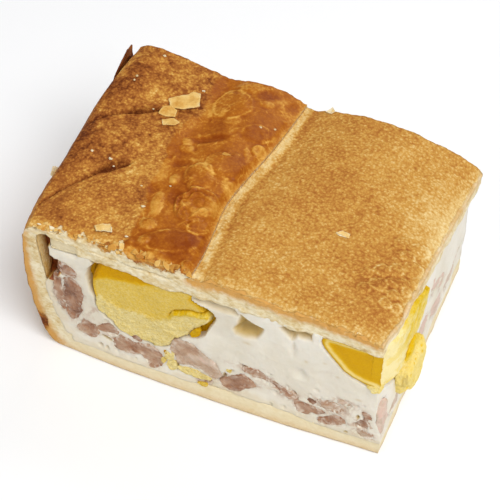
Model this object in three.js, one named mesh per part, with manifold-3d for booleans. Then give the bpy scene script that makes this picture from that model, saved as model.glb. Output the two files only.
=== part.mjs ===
// A slice of bacon and egg pie, cut square from a tray bake: one pastry sheet makes the base,
// turns up as the side wall and folds over the top, where it laps a second, flat sheet.
// Between the sheets lie a bed of chopped bacon, set egg white and two whole yolks, all cut open.
// Millimetres. +X runs along the front cut, +Y to the back cut, +Z up from the table.
import * as THREE from "three";
import { mergeVertices } from "three/addons/utils/BufferGeometryUtils.js";
import Module from "manifold-3d";

const wasm = await Module();
wasm.setup();

// Driving dimensions
const DEPTH = 71; // front cut to back cut
const FRONT = -DEPTH / 2;
const BACK = DEPTH / 2;
const RIGHT = 50; // right-hand cut face
const BASE_THICK = 4.6; // bottom crust
const BASE_SWELL = 2; // how much thicker the bottom crust is in the middle
const GAP = 0.35; // clearance between neighbouring pieces
const LID_CLEAR = 0.6; // the filling has shrunk a little from the lid
const WALL_FOOT = -43; // where the base starts to turn up into the wall
const FLAP_START = -48.5; // where the wall has turned over into the flap
const STEP_FRONT = -3.2; // edge of the flap at the front cut
const STEP_BACK = 0.3; // edge of the flap at the back cut
const LID_LEFT = -42.5; // end of the flat sheet, tucked under the flap
const LID_OVERHANG = 2.2; // the flat sheet stands past the right cut at the back
const BACK_OVERHANG = 1.4; // and both sheets stand past the back cut
const FOOT_OUT = 1.2; // the bottom crust stands a little past the middle of the front cut
const YOLK_ACROSS = 35; // a set hen's yolk, flattened a little
const YOLK_OUT = 1; // the right-hand yolk stands proud of its cut
const CENTRE_X = -0.5; // middle of the slice in the frame of the cuts
const CENTRE_Y = 0.2;

// Heights along the front cut, as [x, height] pairs
const FLAP_TOP = [[-48.5, 46.3], [-44, 47.3], [-38, 47.9], [-30, 48.3], [-20, 48.8], [-10, 48.6], [0, 47.6]];
const LID_TOP = [[-42.5, 43.7], [-9, 43.5], [-2, 46], [4, 47.2], [12, 46.7], [22, 45.9], [40, 45.3], [50, 43.7]];
const LID_LOW = [[-42.5, 40.3], [-26, 40.2], [-10, 38.9], [10, 37.2], [22, 37.9], [32, 39.4], [50, 39.9]];
// How much the top has risen or sagged at the back cut
const RISE = [
  [-54, 0], [-48, 4], [-43, 4.3], [-38, 2.9], [-29, 0.4], [-22, -1.4], [-16, 0], [-11, 0.4],
  [-5, -0.6], [0, -2], [4, -2.4], [10, -0.6], [20, 1.5], [28, 1.1], [37, -1], [46, -3], [53, -7.5],
];
// How far the wall leans out, from the front cut (0) to the back cut (1)
const BULGE = [[0, 0], [0.15, 2], [0.38, 2.4], [0.57, 3.4], [0.75, 3.7], [1, 2.8]];
// Outside and inside of the wall, bottom to top, at the front cut
const WALL_OUT = [[-43, 0], [-46.4, 1], [-48.8, 6], [-50.4, 13], [-51.3, 21], [-51.6, 30], [-51.4, 38], [-50.6, 43.2], [-48.5, 46.3]];
const WALL_IN = [[-38.5, 5], [-42, 10], [-44.2, 16.2], [-45.2, 22], [-45.6, 28.2], [-46, 35], [-46, 40.5], [-45, 43.3], [-43.5, 44.1]];

// The two knife slashes in the flap, as plan points, and their depth
const SLASHES = [[[-52, 3.6], [-35, 17]], [[-51, -26.5], [-34, -3]]];
const SLASH_DEPTH = 2.6;
const SLASH_WIDTH = 1.6;
const SLASH_SINK = 1.1; // the pastry dips more gently on both sides
const SLASH_SINK_WIDTH = 5;
// Large blisters on the lapped edge of the flap: x, y, half width, half depth, height
const BLISTERS = [
  [-10.8, -12.6, 6.2, 5.4, 1.5], [-13.8, -3.4, 4.4, 5, 1.2], [-9, 4.8, 4.6, 4, 1.3], [-18.4, 27.2, 6.6, 6, 1.3],
  [-20.1, -23.4, 2.9, 2.4, 1.2], [-12.4, -25.8, 7.2, 3, 1.3], [-8.6, 24, 5.5, 5, 1], [-17, 12, 5, 6, 0.9],
  [-5.2, 13.2, 1.8, 1.8, 0.8], [-17.5, -14, 2.6, 6, 0.8],
];

// Bacon pieces that show at the front cut: x, z, length, thickness, turn in degrees
const FRONT_BACON = [
  [-39.4, 22.6, 24.5, 6.2, 96], [-34.8, 11, 8.5, 7, 25], [-28, 13.6, 7, 5, 20], [-19, 9.6, 16, 6.4, -14],
  [-1.6, 14.6, 15, 6.6, -34], [9.8, 10.2, 8.6, 6.4, 12], [18.2, 15.4, 13.5, 4.4, -28], [30.6, 9, 10, 3.8, -10],
  [36.6, 7.6, 8, 4, 4], [46.2, 9.6, 5.6, 6, -18],
];
const BACON_BED = 2.2; // fine bacon that joins the pieces at a cut
const BACON_MOUND = 8; // and how much deeper it lies behind the cuts
const BACON_DEEP = 9; // how far a piece runs in from a cut

// Eases from 0 at the first place to 1 at the second, whichever is larger.
function smooth(from, to, value) {
  const t = THREE.MathUtils.clamp((value - from) / (to - from), 0, 1);
  return t * t * (3 - 2 * t);
}

// A smooth curve through [place, value] pairs, level beyond its ends.
function through(pairs) {
  return (place) => {
    const last = pairs.length - 1;
    if (place <= pairs[0][0]) return pairs[0][1];
    if (place >= pairs[last][0]) return pairs[last][1];
    const i = pairs.findIndex((pair, n) => n < last && place < pairs[n + 1][0]);
    const slope = (n) => {
      const a = pairs[Math.max(0, n - 1)];
      const b = pairs[Math.min(last, n + 1)];
      return (b[1] - a[1]) / (b[0] - a[0]);
    };
    const span = pairs[i + 1][0] - pairs[i][0];
    const t = (place - pairs[i][0]) / span;
    const [h1, h2] = [t * t * (3 - 2 * t), t * (1 - t)];
    const bend = h2 * ((1 - t) * slope(i) - t * slope(i + 1)) * span;
    return pairs[i][1] * (1 - h1) + pairs[i + 1][1] * h1 + bend;
  };
}

const flapTop = through(FLAP_TOP);
const lidTop = through(LID_TOP);
const lidLow = through(LID_LOW);
const rise = through(RISE);
const bulge = through(BULGE);
const baseTop = (x) => BASE_THICK + BASE_SWELL * Math.exp(-(((x - 12) / 17) ** 2)) + 0.3 * Math.sin(x / 3.1);
const wallOut = new THREE.SplineCurve(WALL_OUT.map(([x, z]) => new THREE.Vector2(x, z)));
const wallIn = new THREE.SplineCurve(WALL_IN.map(([x, z]) => new THREE.Vector2(x, z)));
const share = (y) => THREE.MathUtils.clamp((y - FRONT) / DEPTH, 0, 1);
const stepAt = (y) => THREE.MathUtils.lerp(STEP_FRONT, STEP_BACK, share(y));

// The slice isn't square: the wall leans out, and the top rises and sags towards the back.
function warp(x, y, z) {
  const t = share(y);
  const lean = bulge(t) * smooth(2, 24, z) * smooth(25, 48, -x);
  const lift = rise(x) * smooth(0, 1, t) * smooth(6, 40, z);
  const foot = FOOT_OUT * (1 - t) * smooth(12, 1, z) * smooth(50, 15, Math.abs(x));
  return new THREE.Vector3(x - lean, y - foot, z + lift);
}

// A closed box mesh with its corner shares (u, v, w) mapped to places.
function mapped(nu, nv, nw, place) {
  const geometry = new THREE.BoxGeometry(1, 1, 1, nu, nv, nw);
  geometry.deleteAttribute("normal");
  geometry.deleteAttribute("uv");
  const at = geometry.getAttribute("position");
  for (let i = 0; i < at.count; i++) {
    const p = place(at.getX(i) + 0.5, at.getY(i) + 0.5, at.getZ(i) + 0.5);
    at.setXYZ(i, p.x, p.y, p.z);
  }
  return mergeVertices(geometry, 1e-4);
}

function solid(geometry) {
  const bare = geometry.clone();
  bare.deleteAttribute("normal");
  bare.deleteAttribute("uv");
  const merged = mergeVertices(bare, 1e-4);
  return new wasm.Manifold(
    new wasm.Mesh({
      numProp: 3,
      vertProperties: new Float32Array(merged.getAttribute("position").array),
      triVerts: new Uint32Array(merged.index.array),
    }),
  );
}

// The largest body of a solid, so that a scrap cut loose is dropped, as a geometry.
function geometryOf(manifold) {
  const bodies = manifold.decompose().sort((a, b) => b.volume() - a.volume());
  const mesh = bodies[0].getMesh();
  const geometry = new THREE.BufferGeometry();
  geometry.setAttribute("position", new THREE.BufferAttribute(new Float32Array(mesh.vertProperties), 3));
  geometry.setIndex(new THREE.BufferAttribute(new Uint32Array(mesh.triVerts), 1));
  return geometry;
}

// Distance from a plan point to a segment, and how far along it that is.
function toSegment(x, y, [[x1, y1], [x2, y2]]) {
  const [dx, dy] = [x2 - x1, y2 - y1];
  const along = ((x - x1) * dx + (y - y1) * dy) / (dx * dx + dy * dy);
  const t = THREE.MathUtils.clamp(along, 0, 1);
  return [Math.hypot(x - x1 - t * dx, y - y1 - t * dy), t];
}

// Relief of the flap's top: slashes, the puffs between them and the blisters of the lapped edge.
function flapRelief(x, y) {
  let height = 0.35 * Math.sin(x / 2.9 + 1) * Math.sin(y / 4.3) * smooth(-50, -44, x);
  for (const line of SLASHES) {
    const [away, along] = toSegment(x, y, line);
    const open = smooth(1.02, 0.75, along) * (0.55 + 0.45 * smooth(0.2, 0.6, along));
    height -= SLASH_DEPTH * open * Math.exp(-((away / SLASH_WIDTH) ** 2));
    height -= SLASH_SINK * Math.exp(-((away / SLASH_SINK_WIDTH) ** 2));
  }
  for (const [bx, by, rx, ry, high] of BLISTERS) {
    const r = Math.hypot((x - bx) / rx, (y - by) / ry);
    height += high * smooth(1.15, 0.55, r);
  }
  return height;
}

const CASE_STEPS = { base: 5, wall: 10, flap: 24, depth: 25 };

// Base, side wall and flap: one bent sheet, from the base's right end to the flap's edge.
function caseGeometry() {
  const { base, wall, flap, depth } = CASE_STEPS;
  const count = base + wall + flap;
  return mapped(count, depth, 1, (u, v, w) => {
    const index = Math.round(u * count);
    const outside = w > 0.5;
    let [x, z] = [0, 0];
    if (index <= base) {
      x = THREE.MathUtils.lerp(RIGHT, outside ? WALL_FOOT : WALL_IN[0][0], index / base);
      z = outside ? 0 : Math.min(baseTop(x), THREE.MathUtils.lerp(baseTop(x), WALL_IN[0][1], index / base));
    } else if (index <= base + wall) {
      const point = (outside ? wallOut : wallIn).getPoint((index - base) / wall);
      [x, z] = [point.x, point.y];
    }
    const y = THREE.MathUtils.lerp(FRONT, BACK + BACK_OVERHANG * smooth(20, 44, index > base + wall ? 45 : z), v);
    if (index > base + wall) {
      const start = outside ? FLAP_START : WALL_IN.at(-1)[0];
      x = THREE.MathUtils.lerp(start, stepAt(y), (index - base - wall) / flap);
      z = outside ? flapTop(x) : lidTop(x) + GAP;
    }
    const p = warp(x, y, z);
    if (outside && z > 40) p.z += flapRelief(p.x, y) * smooth(40, 46, z);
    return p;
  });
}

// Height of the flap's finished top at a plan point.
function flapHeight(x, y) {
  return flapTop(x) + rise(x) * smooth(0, 1, share(y)) + flapRelief(x, y);
}

// A thin irregular flake of pastry lying on the flap, turned and tipped.
function flake(x, y, long, wide, turn, tip) {
  const shape = new THREE.Shape();
  const corners = 7;
  for (let i = 0; i < corners; i++) {
    const angle = (i / corners) * 2 * Math.PI;
    const reach = 1 + 0.2 * Math.sin(2.3 * i + x);
    const point = [(long / 2) * reach * Math.cos(angle), (wide / 2) * reach * Math.sin(angle)];
    if (i) shape.lineTo(...point);
    else shape.moveTo(...point);
  }
  const geometry = new THREE.ExtrudeGeometry(shape, { depth: FLAKE_THICK, bevelEnabled: false });
  geometry.rotateX(THREE.MathUtils.degToRad(tip));
  geometry.rotateZ(THREE.MathUtils.degToRad(turn));
  return geometry.translate(x, y, flapHeight(x, y) - FLAKE_THICK / 2);
}

// Loose flakes baked on to the flap: x, y, length, width, turn, tip
const FLAKES = [[-28.9, 22, 9, 6, 25, 4], [-32.3, 16.2, 5, 4.6, -10, -3], [-30.6, 11.6, 6, 3, 5, 3], [-28.8, -29.5, 6, 3, -15, 2]];
const FLAKE_THICK = 1.8;
// The scorched tongue of crust that stands free of the wall at the back
const TONGUE = { x: -54.6, y: 28.6, z: 33, high: 16.6, wide: 17, thick: 1.2 };

function tongueGeometry() {
  const { x, y, z, high, wide, thick } = TONGUE;
  return mapped(2, 8, 6, (u, v, w) => {
    const top = high * (0.6 + 0.4 * smooth(0, 0.95, v));
    const side = thick * (u - 0.5) * (1.2 - 0.8 * w);
    return new THREE.Vector3(x + 0.5 * w * w + side, y + wide * (v - 0.5), z + top * w);
  });
}

// The flat sheet: tucked under the flap on the left, cut at the front, the right and the back.
function lidGeometry() {
  const steps = { along: 28, depth: 10 };
  return mapped(steps.along, steps.depth, 1, (u, v, w) => {
    const x = THREE.MathUtils.lerp(LID_LEFT, RIGHT, u);
    const y = THREE.MathUtils.lerp(FRONT, BACK + BACK_OVERHANG, v);
    const p = warp(x, y, w > 0.5 ? lidTop(x) : lidLow(x));
    p.x += LID_OVERHANG * share(y) ** 2 * smooth(20, 50, x);
    return p;
  });
}

// Everything between the sheets, clear of them: inside the wall there is an empty corner at the top.
const CORNER_FLOOR = 27;
const CORNER_SIDE = -42.6;
function fillingGeometry(right) {
  const steps = { along: 20, depth: 10, up: 3 };
  const wallAt = through(WALL_IN.slice(0, 7).map(([x, z]) => [z, x]));
  return mapped(steps.along, steps.depth, steps.up, (u, v, w) => {
    const y = THREE.MathUtils.lerp(FRONT, BACK, v);
    const height = THREE.MathUtils.lerp(BASE_THICK, 40, w);
    const wall = wallAt(height) + GAP + 0.6;
    const left = THREE.MathUtils.lerp(wall, Math.max(wall, CORNER_SIDE), smooth(CORNER_FLOOR - 4, CORNER_FLOOR + 3, height));
    const x = THREE.MathUtils.lerp(left, right, u);
    const z = THREE.MathUtils.lerp(Math.max(baseTop(x), WALL_IN[0][1]) + GAP, lidLow(x) - LID_CLEAR, w);
    return warp(x, y, z);
  });
}

// A yolk: an uneven flattened ball, grown by a clearance where a pocket is cut for it.
function yolkGeometry(x, y, z, deep, tall, grow) {
  const ball = new THREE.SphereGeometry(1, 22, 14).rotateX(Math.PI / 2);
  const at = ball.getAttribute("position");
  for (let i = 0; i < at.count; i++) {
    const [a, b, c] = [at.getX(i), at.getY(i), at.getZ(i)];
    const uneven = 1 + 0.025 * Math.sin(3 * a + 2 * c + x) + 0.02 * Math.sin(4 * b - 3 * c);
    at.setXYZ(
      i,
      x + a * (YOLK_ACROSS / 2 + grow) * uneven,
      y + b * (deep / 2 + grow) * uneven,
      z + c * (tall / 2 + grow) * uneven,
    );
  }
  return ball;
}

// A chopped piece: a lump between a brick and a ball, with uneven sides.
function lump(x, y, z, long, deep, thick, turn, grow) {
  const ball = new THREE.IcosahedronGeometry(1, 1);
  const at = ball.getAttribute("position");
  const square = (value) => Math.sign(value) * Math.abs(value) ** 0.62;
  for (let i = 0; i < at.count; i++) {
    const [a, b, c] = [at.getX(i), at.getY(i), at.getZ(i)];
    const uneven = 1 + 0.1 * Math.sin(5 * a + 3 * c + x) * Math.cos(4 * b + z);
    at.setXYZ(
      i,
      square(a) * uneven * (long / 2 + grow),
      square(b) * uneven * (deep / 2 + grow),
      square(c) * uneven * (thick / 2 + grow),
    );
  }
  return ball.rotateY(-THREE.MathUtils.degToRad(turn)).translate(x, y, z);
}

// Pieces along the other two cuts follow a seeded rule.
function ruledBacon(grow) {
  const pieces = [];
  const spread = { back: 13, right: 10 };
  for (let x = -33, n = 0; x < RIGHT - 4; x += spread.back, n++) {
    const high = baseTop(x) + 3.4 + 1.6 * Math.sin(2.1 * n);
    const [long, thick] = [13 + 2 * Math.sin(3 * n), 6 + Math.cos(n)];
    pieces.push(lump(x, BACK, high, long, BACON_DEEP * 2, thick, 18 * Math.sin(1.7 * n + 1), grow));
  }
  for (let y = FRONT + 14, n = 0; y < BACK - 8; y += spread.right, n++) {
    const high = baseTop(RIGHT) + 6 + 3 * Math.sin(1.9 * n + 0.4);
    const [wide, thick] = [9 + 1.5 * Math.cos(2.3 * n), 4.8 + Math.sin(2 * n)];
    pieces.push(lump(RIGHT, y, high, BACON_DEEP * 3, wide, thick, 6 * Math.sin(n), grow));
  }
  return pieces;
}

// The bed of bacon on the base, with its pieces.
function baconSolid(grow) {
  const bed = mapped(16, 8, 1, (u, v, w) => {
    const x = THREE.MathUtils.lerp(-44, RIGHT + 1, u);
    const y = THREE.MathUtils.lerp(FRONT - 1, BACK + 1, v);
    const lumps = 1.1 * Math.sin(x / 2.6) * Math.cos(y / 3.4) + 0.7 * Math.sin(x / 4.7 + y / 2.9);
    const inside = Math.min(y - FRONT, BACK - y, RIGHT - x);
    const up = smooth(-37, -43, x) * 12 + BACON_MOUND * smooth(2, 10, inside);
    return new THREE.Vector3(x, y, w > 0.5 ? baseTop(x) + BACON_BED + lumps + up + grow : 0);
  });
  const front = FRONT_BACON.map(([x, z, long, thick, turn]) =>
    lump(x, FRONT, z, long, BACON_DEEP * 2, thick, turn, grow),
  );
  return [...front, ...ruledBacon(grow)].reduce((all, piece) => all.add(solid(piece)), solid(bed));
}

// Hollows that show in the egg white under the lid: x, z, half width, half height, depth
const HOLLOWS = [[13.2, 33.6, 3.6, 2.2, 6], [27.4, 38.2, 3, 1.4, 5], [-29.8, 37.6, 1.6, 2.2, 4]];

function hollowGeometry([x, z, wide, high, deep]) {
  return new THREE.SphereGeometry(1, 12, 8).scale(wide, deep, high).translate(x, FRONT, z);
}

// The yolks: x, y, z, size front to back, size up and down. The right-hand one is pressed to the lid.
const YOLKS = {
  yolk_left: [-14.6, FRONT + 2.2, 27.6, 35, 27],
  yolk_right: [47.5, FRONT + 11.5, 36.5, 39, 24],
};

// The crumbling lower lip of the right-hand yolk stands out past the cut.
function yolkLip(grow) {
  return lump(RIGHT + 0.6, FRONT + 16, 21, 6.4, 13, 12.5, -10, grow);
}

function food(name, geometry, color, roughness) {
  geometry.computeVertexNormals();
  const mesh = new THREE.Mesh(geometry, new THREE.MeshStandardMaterial({ color, roughness, metalness: 0 }));
  mesh.name = name;
  return mesh;
}

function pie() {
  const filling = solid(fillingGeometry(RIGHT));
  const yolkRoom = solid(fillingGeometry(RIGHT + YOLK_OUT));
  const yolks = Object.entries(YOLKS).map(([name, place]) => {
    const whole = solid(yolkGeometry(...place, 0)).intersect(yolkRoom);
    return [name, name === "yolk_right" ? whole.add(solid(yolkLip(0))) : whole];
  });
  const withYolksCut = (piece) => {
    const cut = Object.values(YOLKS).reduce((left, place) => left.subtract(solid(yolkGeometry(...place, GAP))), piece);
    return cut.subtract(solid(yolkLip(GAP)));
  };
  const bacon = withYolksCut(filling.intersect(baconSolid(0)));
  const white = HOLLOWS.reduce(
    (left, hollow) => left.subtract(solid(hollowGeometry(hollow))),
    withYolksCut(filling.subtract(baconSolid(GAP))),
  );
  const crust = FLAKES.reduce((all, place) => all.add(solid(flake(...place))), solid(caseGeometry()).add(solid(tongueGeometry())));

  const group = new THREE.Group();
  group.add(
    food("pastry_case", geometryOf(crust), 0xb9793a, 0.6),
    food("pastry_lid", lidGeometry(), 0xcf9345, 0.55),
    food("egg_white", geometryOf(white), 0xe6e0d2, 0.45),
    food("bacon_bed", geometryOf(bacon), 0xa88777, 0.5),
    ...yolks.map(([name, yolk]) => food(name, geometryOf(yolk), 0xe3c14a, 0.7)),
  );
  group.position.set(-CENTRE_X, -CENTRE_Y, 0);
  return group;
}

export default pie();
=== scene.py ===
"""A square-cut slice of bacon and egg pie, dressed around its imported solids.

One pastry sheet makes the base, the side wall and the flap folded over the top, where it laps a
second, flat sheet. Between them lie chopped bacon, set egg white and two yolks, all cut open.
Sizes are in millimetres in the frame of the cuts, as in the part's source, and the last step of
each piece moves them to metres in the row's frame.
"""

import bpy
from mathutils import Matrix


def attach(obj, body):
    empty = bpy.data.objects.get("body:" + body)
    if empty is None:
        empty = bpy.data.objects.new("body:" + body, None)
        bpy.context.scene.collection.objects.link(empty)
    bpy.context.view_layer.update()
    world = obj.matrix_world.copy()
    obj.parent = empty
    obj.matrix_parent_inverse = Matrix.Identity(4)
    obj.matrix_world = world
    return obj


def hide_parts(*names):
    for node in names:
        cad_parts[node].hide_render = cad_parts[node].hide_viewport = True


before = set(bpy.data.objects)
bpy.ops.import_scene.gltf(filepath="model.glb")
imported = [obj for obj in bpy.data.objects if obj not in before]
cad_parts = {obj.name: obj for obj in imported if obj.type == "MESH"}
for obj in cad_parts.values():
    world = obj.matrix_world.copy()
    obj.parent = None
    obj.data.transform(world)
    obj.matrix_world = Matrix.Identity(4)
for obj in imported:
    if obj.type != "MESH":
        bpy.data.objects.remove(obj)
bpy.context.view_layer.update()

import logging
import math
from dataclasses import dataclass, field
from enum import Enum
from typing import Sequence

import bmesh
import bpy
import numpy as np
from mathutils import Matrix, Vector

LOG = logging.getLogger("pie_slice")
MILLIMETRE = 0.001
EDGE = 1e-6
Array = np.ndarray
Color = tuple[float, float, float, float]
Triple = tuple[float, float, float]
Pairs = tuple[tuple[float, float], ...]
Spots = tuple[tuple[float, float, float, float, float], ...]
Stops = tuple[tuple[float, Color], ...]
Values = dict[str, Array]
Part = tuple[bpy.types.Mesh, Values]


def tone(red: int, green: int, blue: int) -> Color:
    """Turns a display colour of 0 to 255 into the linear colour that a shader takes."""
    parts = [channel / 255 for channel in (red, green, blue)]
    linear = [p / 12.92 if p <= 0.04045 else ((p + 0.055) / 1.055) ** 2.4 for p in parts]
    return (linear[0], linear[1], linear[2], 1.0)


def shades(*stops: tuple[float, int, int, int]) -> Stops:
    """Makes the stops of a ramp, each from its place and a display colour."""
    return tuple((place, tone(*color)) for place, *color in stops)


BLACK, WHITE = tone(0, 0, 0), tone(255, 255, 255)


def ease(start: float, end: float, value: Array) -> Array:
    """Eases from 0 at start to 1 at end, whichever is larger.

    Args:
        start: Value that gives 0.
        end: Value that gives 1.
        value: Values to ease.

    Returns:
        Eased values from 0 to 1.
    """
    t = np.clip((np.asarray(value, float) - start) / (end - start), 0.0, 1.0)
    return t * t * (3 - 2 * t)


def blend(first: Array, second: Array, share: Array) -> Array:
    """Mixes two values by a share from 0 to 1."""
    return first + (second - first) * share


def bell(away: Array, width: Array, power: int = 2) -> Array:
    """Falls smoothly from 1 at no distance towards 0 beyond a width."""
    return np.exp(-((away / width) ** power))


def rows(*columns: Array) -> Array:
    """Sets coordinates side by side, one row to a point."""
    return np.stack(columns, axis=1)


def ends(share: Array) -> tuple[Array, Array]:
    """Tells which shares are 0 and which are 1."""
    return share < EDGE, share > 1 - EDGE


def lumps(a: Array, b: Array, places: Spots) -> Array:
    """Adds soft lumps.

    Args:
        a: First coordinates.
        b: Second coordinates.
        places: Middle, half sizes and height of each lump.

    Returns:
        Height of the lumps at each point.
    """
    total = np.zeros(len(a))
    for middle_a, middle_b, wide, high, rise in places:
        total += rise * np.exp(-(((a - middle_a) / wide) ** 2) - ((b - middle_b) / high) ** 2)
    return total


@dataclass(frozen=True)
class Curve:
    """A smooth curve through (place, value) pairs, level beyond its ends."""

    pairs: Pairs

    def __call__(self, place: Array) -> Array:
        """Reads the curve.

        Args:
            place: Places to read it at.

        Returns:
            Values there.
        """
        xs, ys = np.array(self.pairs).T
        ahead = np.minimum(np.arange(len(xs)) + 1, len(xs) - 1)
        behind = np.maximum(np.arange(len(xs)) - 1, 0)
        slope = (ys[ahead] - ys[behind]) / (xs[ahead] - xs[behind])
        at = np.clip(np.asarray(place, float), xs[0], xs[-1])
        i = np.clip(np.searchsorted(xs, at, side="right") - 1, 0, len(xs) - 2)
        span = xs[i + 1] - xs[i]
        t = (at - xs[i]) / span
        rise = t * t * (3 - 2 * t)
        bend = t * (1 - t) * ((1 - t) * slope[i] - t * slope[i + 1]) * span
        return ys[i] * (1 - rise) + ys[i + 1] * rise + bend


@dataclass(frozen=True)
class Path:
    """A smooth path through section points."""

    points: Pairs

    def at(self, share: Array) -> tuple[Array, Array]:
        """Walks along the path.

        Args:
            share: Shares of the way, from 0 to 1.

        Returns:
            The two coordinates there.
        """
        knots = np.array(self.points)
        last = len(knots) - 1
        along = np.clip(share, 0, 1) * last
        i = np.minimum(along.astype(int), last - 1)
        t = (along - i)[:, None]
        p0, p1 = knots[np.maximum(i - 1, 0)], knots[i]
        p2, p3 = knots[i + 1], knots[np.minimum(i + 2, last)]
        v0, v1 = (p2 - p0) / 2, (p3 - p1) / 2
        place = (2 * p1 - 2 * p2 + v0 + v1) * t**3 + (-3 * p1 + 3 * p2 - 2 * v0 - v1) * t**2 + v0 * t + p1
        return place[:, 0], place[:, 1]


@dataclass(frozen=True)
class Grain:
    """Seeded noise over points in millimetres, for relief that the meshes carry."""

    seed: int

    def _hash(self, cells: Array, salt: int) -> Array:
        """Gives each whole-number cell a fixed value from 0 to 1."""
        mixed = cells[..., 0] * 374761393 + cells[..., 1] * 668265263 + cells[..., 2] * 1442695041
        mixed = (mixed + (self.seed * 31 + salt) * 974634777) & 0xFFFFFFFF
        mixed = ((mixed ^ (mixed >> 13)) * 1274126177) & 0xFFFFFFFF
        return ((mixed ^ (mixed >> 16)) & 0xFFFFFF) / float(0xFFFFFF)

    def soft(self, points: Array, size: float) -> Array:
        """Reads smooth noise.

        Args:
            points: Points as rows of x, y, z.
            size: Width of one lump.

        Returns:
            Values from -1 to 1.
        """
        scaled = points / size
        low = np.floor(scaled).astype(np.int64)
        t = scaled - low
        t = t * t * t * (t * (t * 6 - 15) + 10)
        total = np.zeros(len(points))
        for corner in np.ndindex(2, 2, 2):
            step = np.array(corner)
            weight = np.prod(np.where(step == 1, t, 1 - t), axis=1)
            total += weight * self._hash(low + step, 0)
        return total * 2 - 1

    def __call__(self, points: Array, size: float, octaves: int = 3) -> Array:
        """Adds finer and finer noise.

        Args:
            points: Points as rows of x, y, z.
            size: Width of the largest lump.
            octaves: How many sizes are added, each half the last.

        Returns:
            Values from about -1 to 1.
        """
        total = np.zeros(len(points))
        for step in range(octaves):
            total += self.soft(points + 17.3 * step, size / 2**step) / 2**step
        return total / 1.5

    def cells(self, points: Array, size: float) -> tuple[Array, Array, Array]:
        """Splits space into irregular cells.

        Args:
            points: Points as rows of x, y, z.
            size: Width of one cell.

        Returns:
            Distance to the nearest seed, distance to the next one, and a value from 0 to 1 for the cell.
        """
        scaled = points / size
        low = np.floor(scaled).astype(np.int64)
        nearest = np.full(len(points), 9.0)
        second = np.full(len(points), 9.0)
        value = np.zeros(len(points))
        for offset in np.ndindex(3, 3, 3):
            cell = low + np.array(offset) - 1
            seat = cell + np.stack([self._hash(cell, salt) for salt in (1, 2, 3)], axis=1)
            away = np.linalg.norm(scaled - seat, axis=1)
            closer = away < nearest
            second = np.where(closer, nearest, np.minimum(second, away))
            value = np.where(closer, self._hash(cell, 4), value)
            nearest = np.where(closer, away, nearest)
        return nearest, second, value


@dataclass(frozen=True)
class SliceShape:
    """The slice's section, and how it changes from the front cut to the back cut."""

    depth: float = 71.0
    right: float = 50.0
    base_thick: float = 4.6
    base_swell: float = 2.0
    gap: float = 0.35
    wall_foot: float = -43.0
    flap_start: float = -48.5
    lid_left: float = -42.5
    lid_overhang: float = 2.2
    back_overhang: float = 1.4
    foot_out: float = 1.2
    centre: tuple[float, float] = (-0.5, 0.2)
    flap_edge: Curve = Curve(
        (
            (-36, -2.6), (-28, -2.6), (-18, -3.7), (-8, -4.8), (2, -3.6), (13, -1.9), (26, -0.5),
            (38, 0.3),
        )
    )
    flap_top: Curve = Curve(
        ((-48.5, 46.3), (-44, 47.3), (-38, 47.9), (-30, 48.3), (-20, 48.8), (-10, 48.6), (0, 47.6))
    )
    lid_top: Curve = Curve(
        ((-42.5, 43.7), (-9, 43.5), (-2, 46), (4, 47.2), (12, 46.7), (22, 45.9), (40, 45.3), (50, 43.7))
    )
    lid_low: Curve = Curve(
        (
            (-42.5, 40.3), (-34, 41), (-27, 40.8), (-20, 40.1), (-10, 39), (-5, 39.7), (4, 40),
            (12, 39.9), (20, 40.2), (25, 39.6), (30, 40.2), (50, 40),
        )
    )
    rise: Curve = Curve(
        (
            (-54, 0), (-48, 4), (-43, 4.3), (-38, 2.9), (-29, 0.4), (-22, -1.4), (-16, 0),
            (-11, 0.4), (-5, -0.6), (0, -2), (4, -2.4), (10, -0.6), (20, 1.5), (28, 1.1), (37, -1),
            (46, -3), (53, -7.5),
        )
    )
    bulge: Curve = Curve(((0, 0), (0.15, 2), (0.38, 2.4), (0.57, 3.4), (0.75, 3.7), (1, 2.8)))
    wall_out: Path = Path(
        (
            (-43, 0), (-46.4, 1), (-48.8, 6), (-50.4, 13), (-51.3, 21), (-51.6, 30), (-51.4, 38),
            (-50.6, 43.2), (-48.5, 46.3),
        )
    )
    wall_in: Path = Path(
        (
            (-38.5, 5), (-42, 10), (-44.2, 16.2), (-45.2, 22), (-45.6, 28.2), (-46.4, 35),
            (-46.8, 41), (-46.2, 44), (-43.5, 44.9),
        )
    )

    @property
    def front(self) -> float:
        """Place of the front cut."""
        return -self.depth / 2

    @property
    def back(self) -> float:
        """Place of the back cut."""
        return self.depth / 2

    def share(self, y: Array) -> Array:
        """Share of the way from the front cut to the back cut."""
        return np.clip((y - self.front) / self.depth, 0, 1)

    def step(self, y: Array) -> Array:
        """Place of the flap's edge."""
        return self.flap_edge(y)

    def wall_at(self, z: Array) -> Array:
        """Place of the wall's inner side at a height."""
        return Curve(tuple((high, out) for out, high in self.wall_in.points[:7]))(z)

    def base_top(self, x: Array) -> Array:
        """Height of the bottom crust's upper side."""
        return self.base_thick + self.base_swell * bell(x - 12, 17) + 0.3 * np.sin(x / 3.1)

    def warp(self, x: Array, y: Array, z: Array) -> Array:
        """Leans the wall out and lets the top rise and sag towards the back.

        Args:
            x: Places along the front cut.
            y: Places from front to back.
            z: Heights.

        Returns:
            Points as rows of x, y, z.
        """
        t = self.share(y)
        lean = self.bulge(t) * ease(2, 24, z) * ease(25, 48, -x)
        lift = self.rise(x) * ease(0, 1, t) * ease(6, 40, z)
        foot = self.foot_out * (1 - t) * ease(12, 1, z) * ease(50, 15, np.abs(x))
        return rows(x - lean, y - foot, z + lift)

    def placed(self, points: Array) -> Array:
        """Moves points from the frame of the cuts to metres in the row's frame."""
        return (points - np.array([self.centre[0], self.centre[1], 0.0])) * MILLIMETRE


SHAPE = SliceShape()


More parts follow.
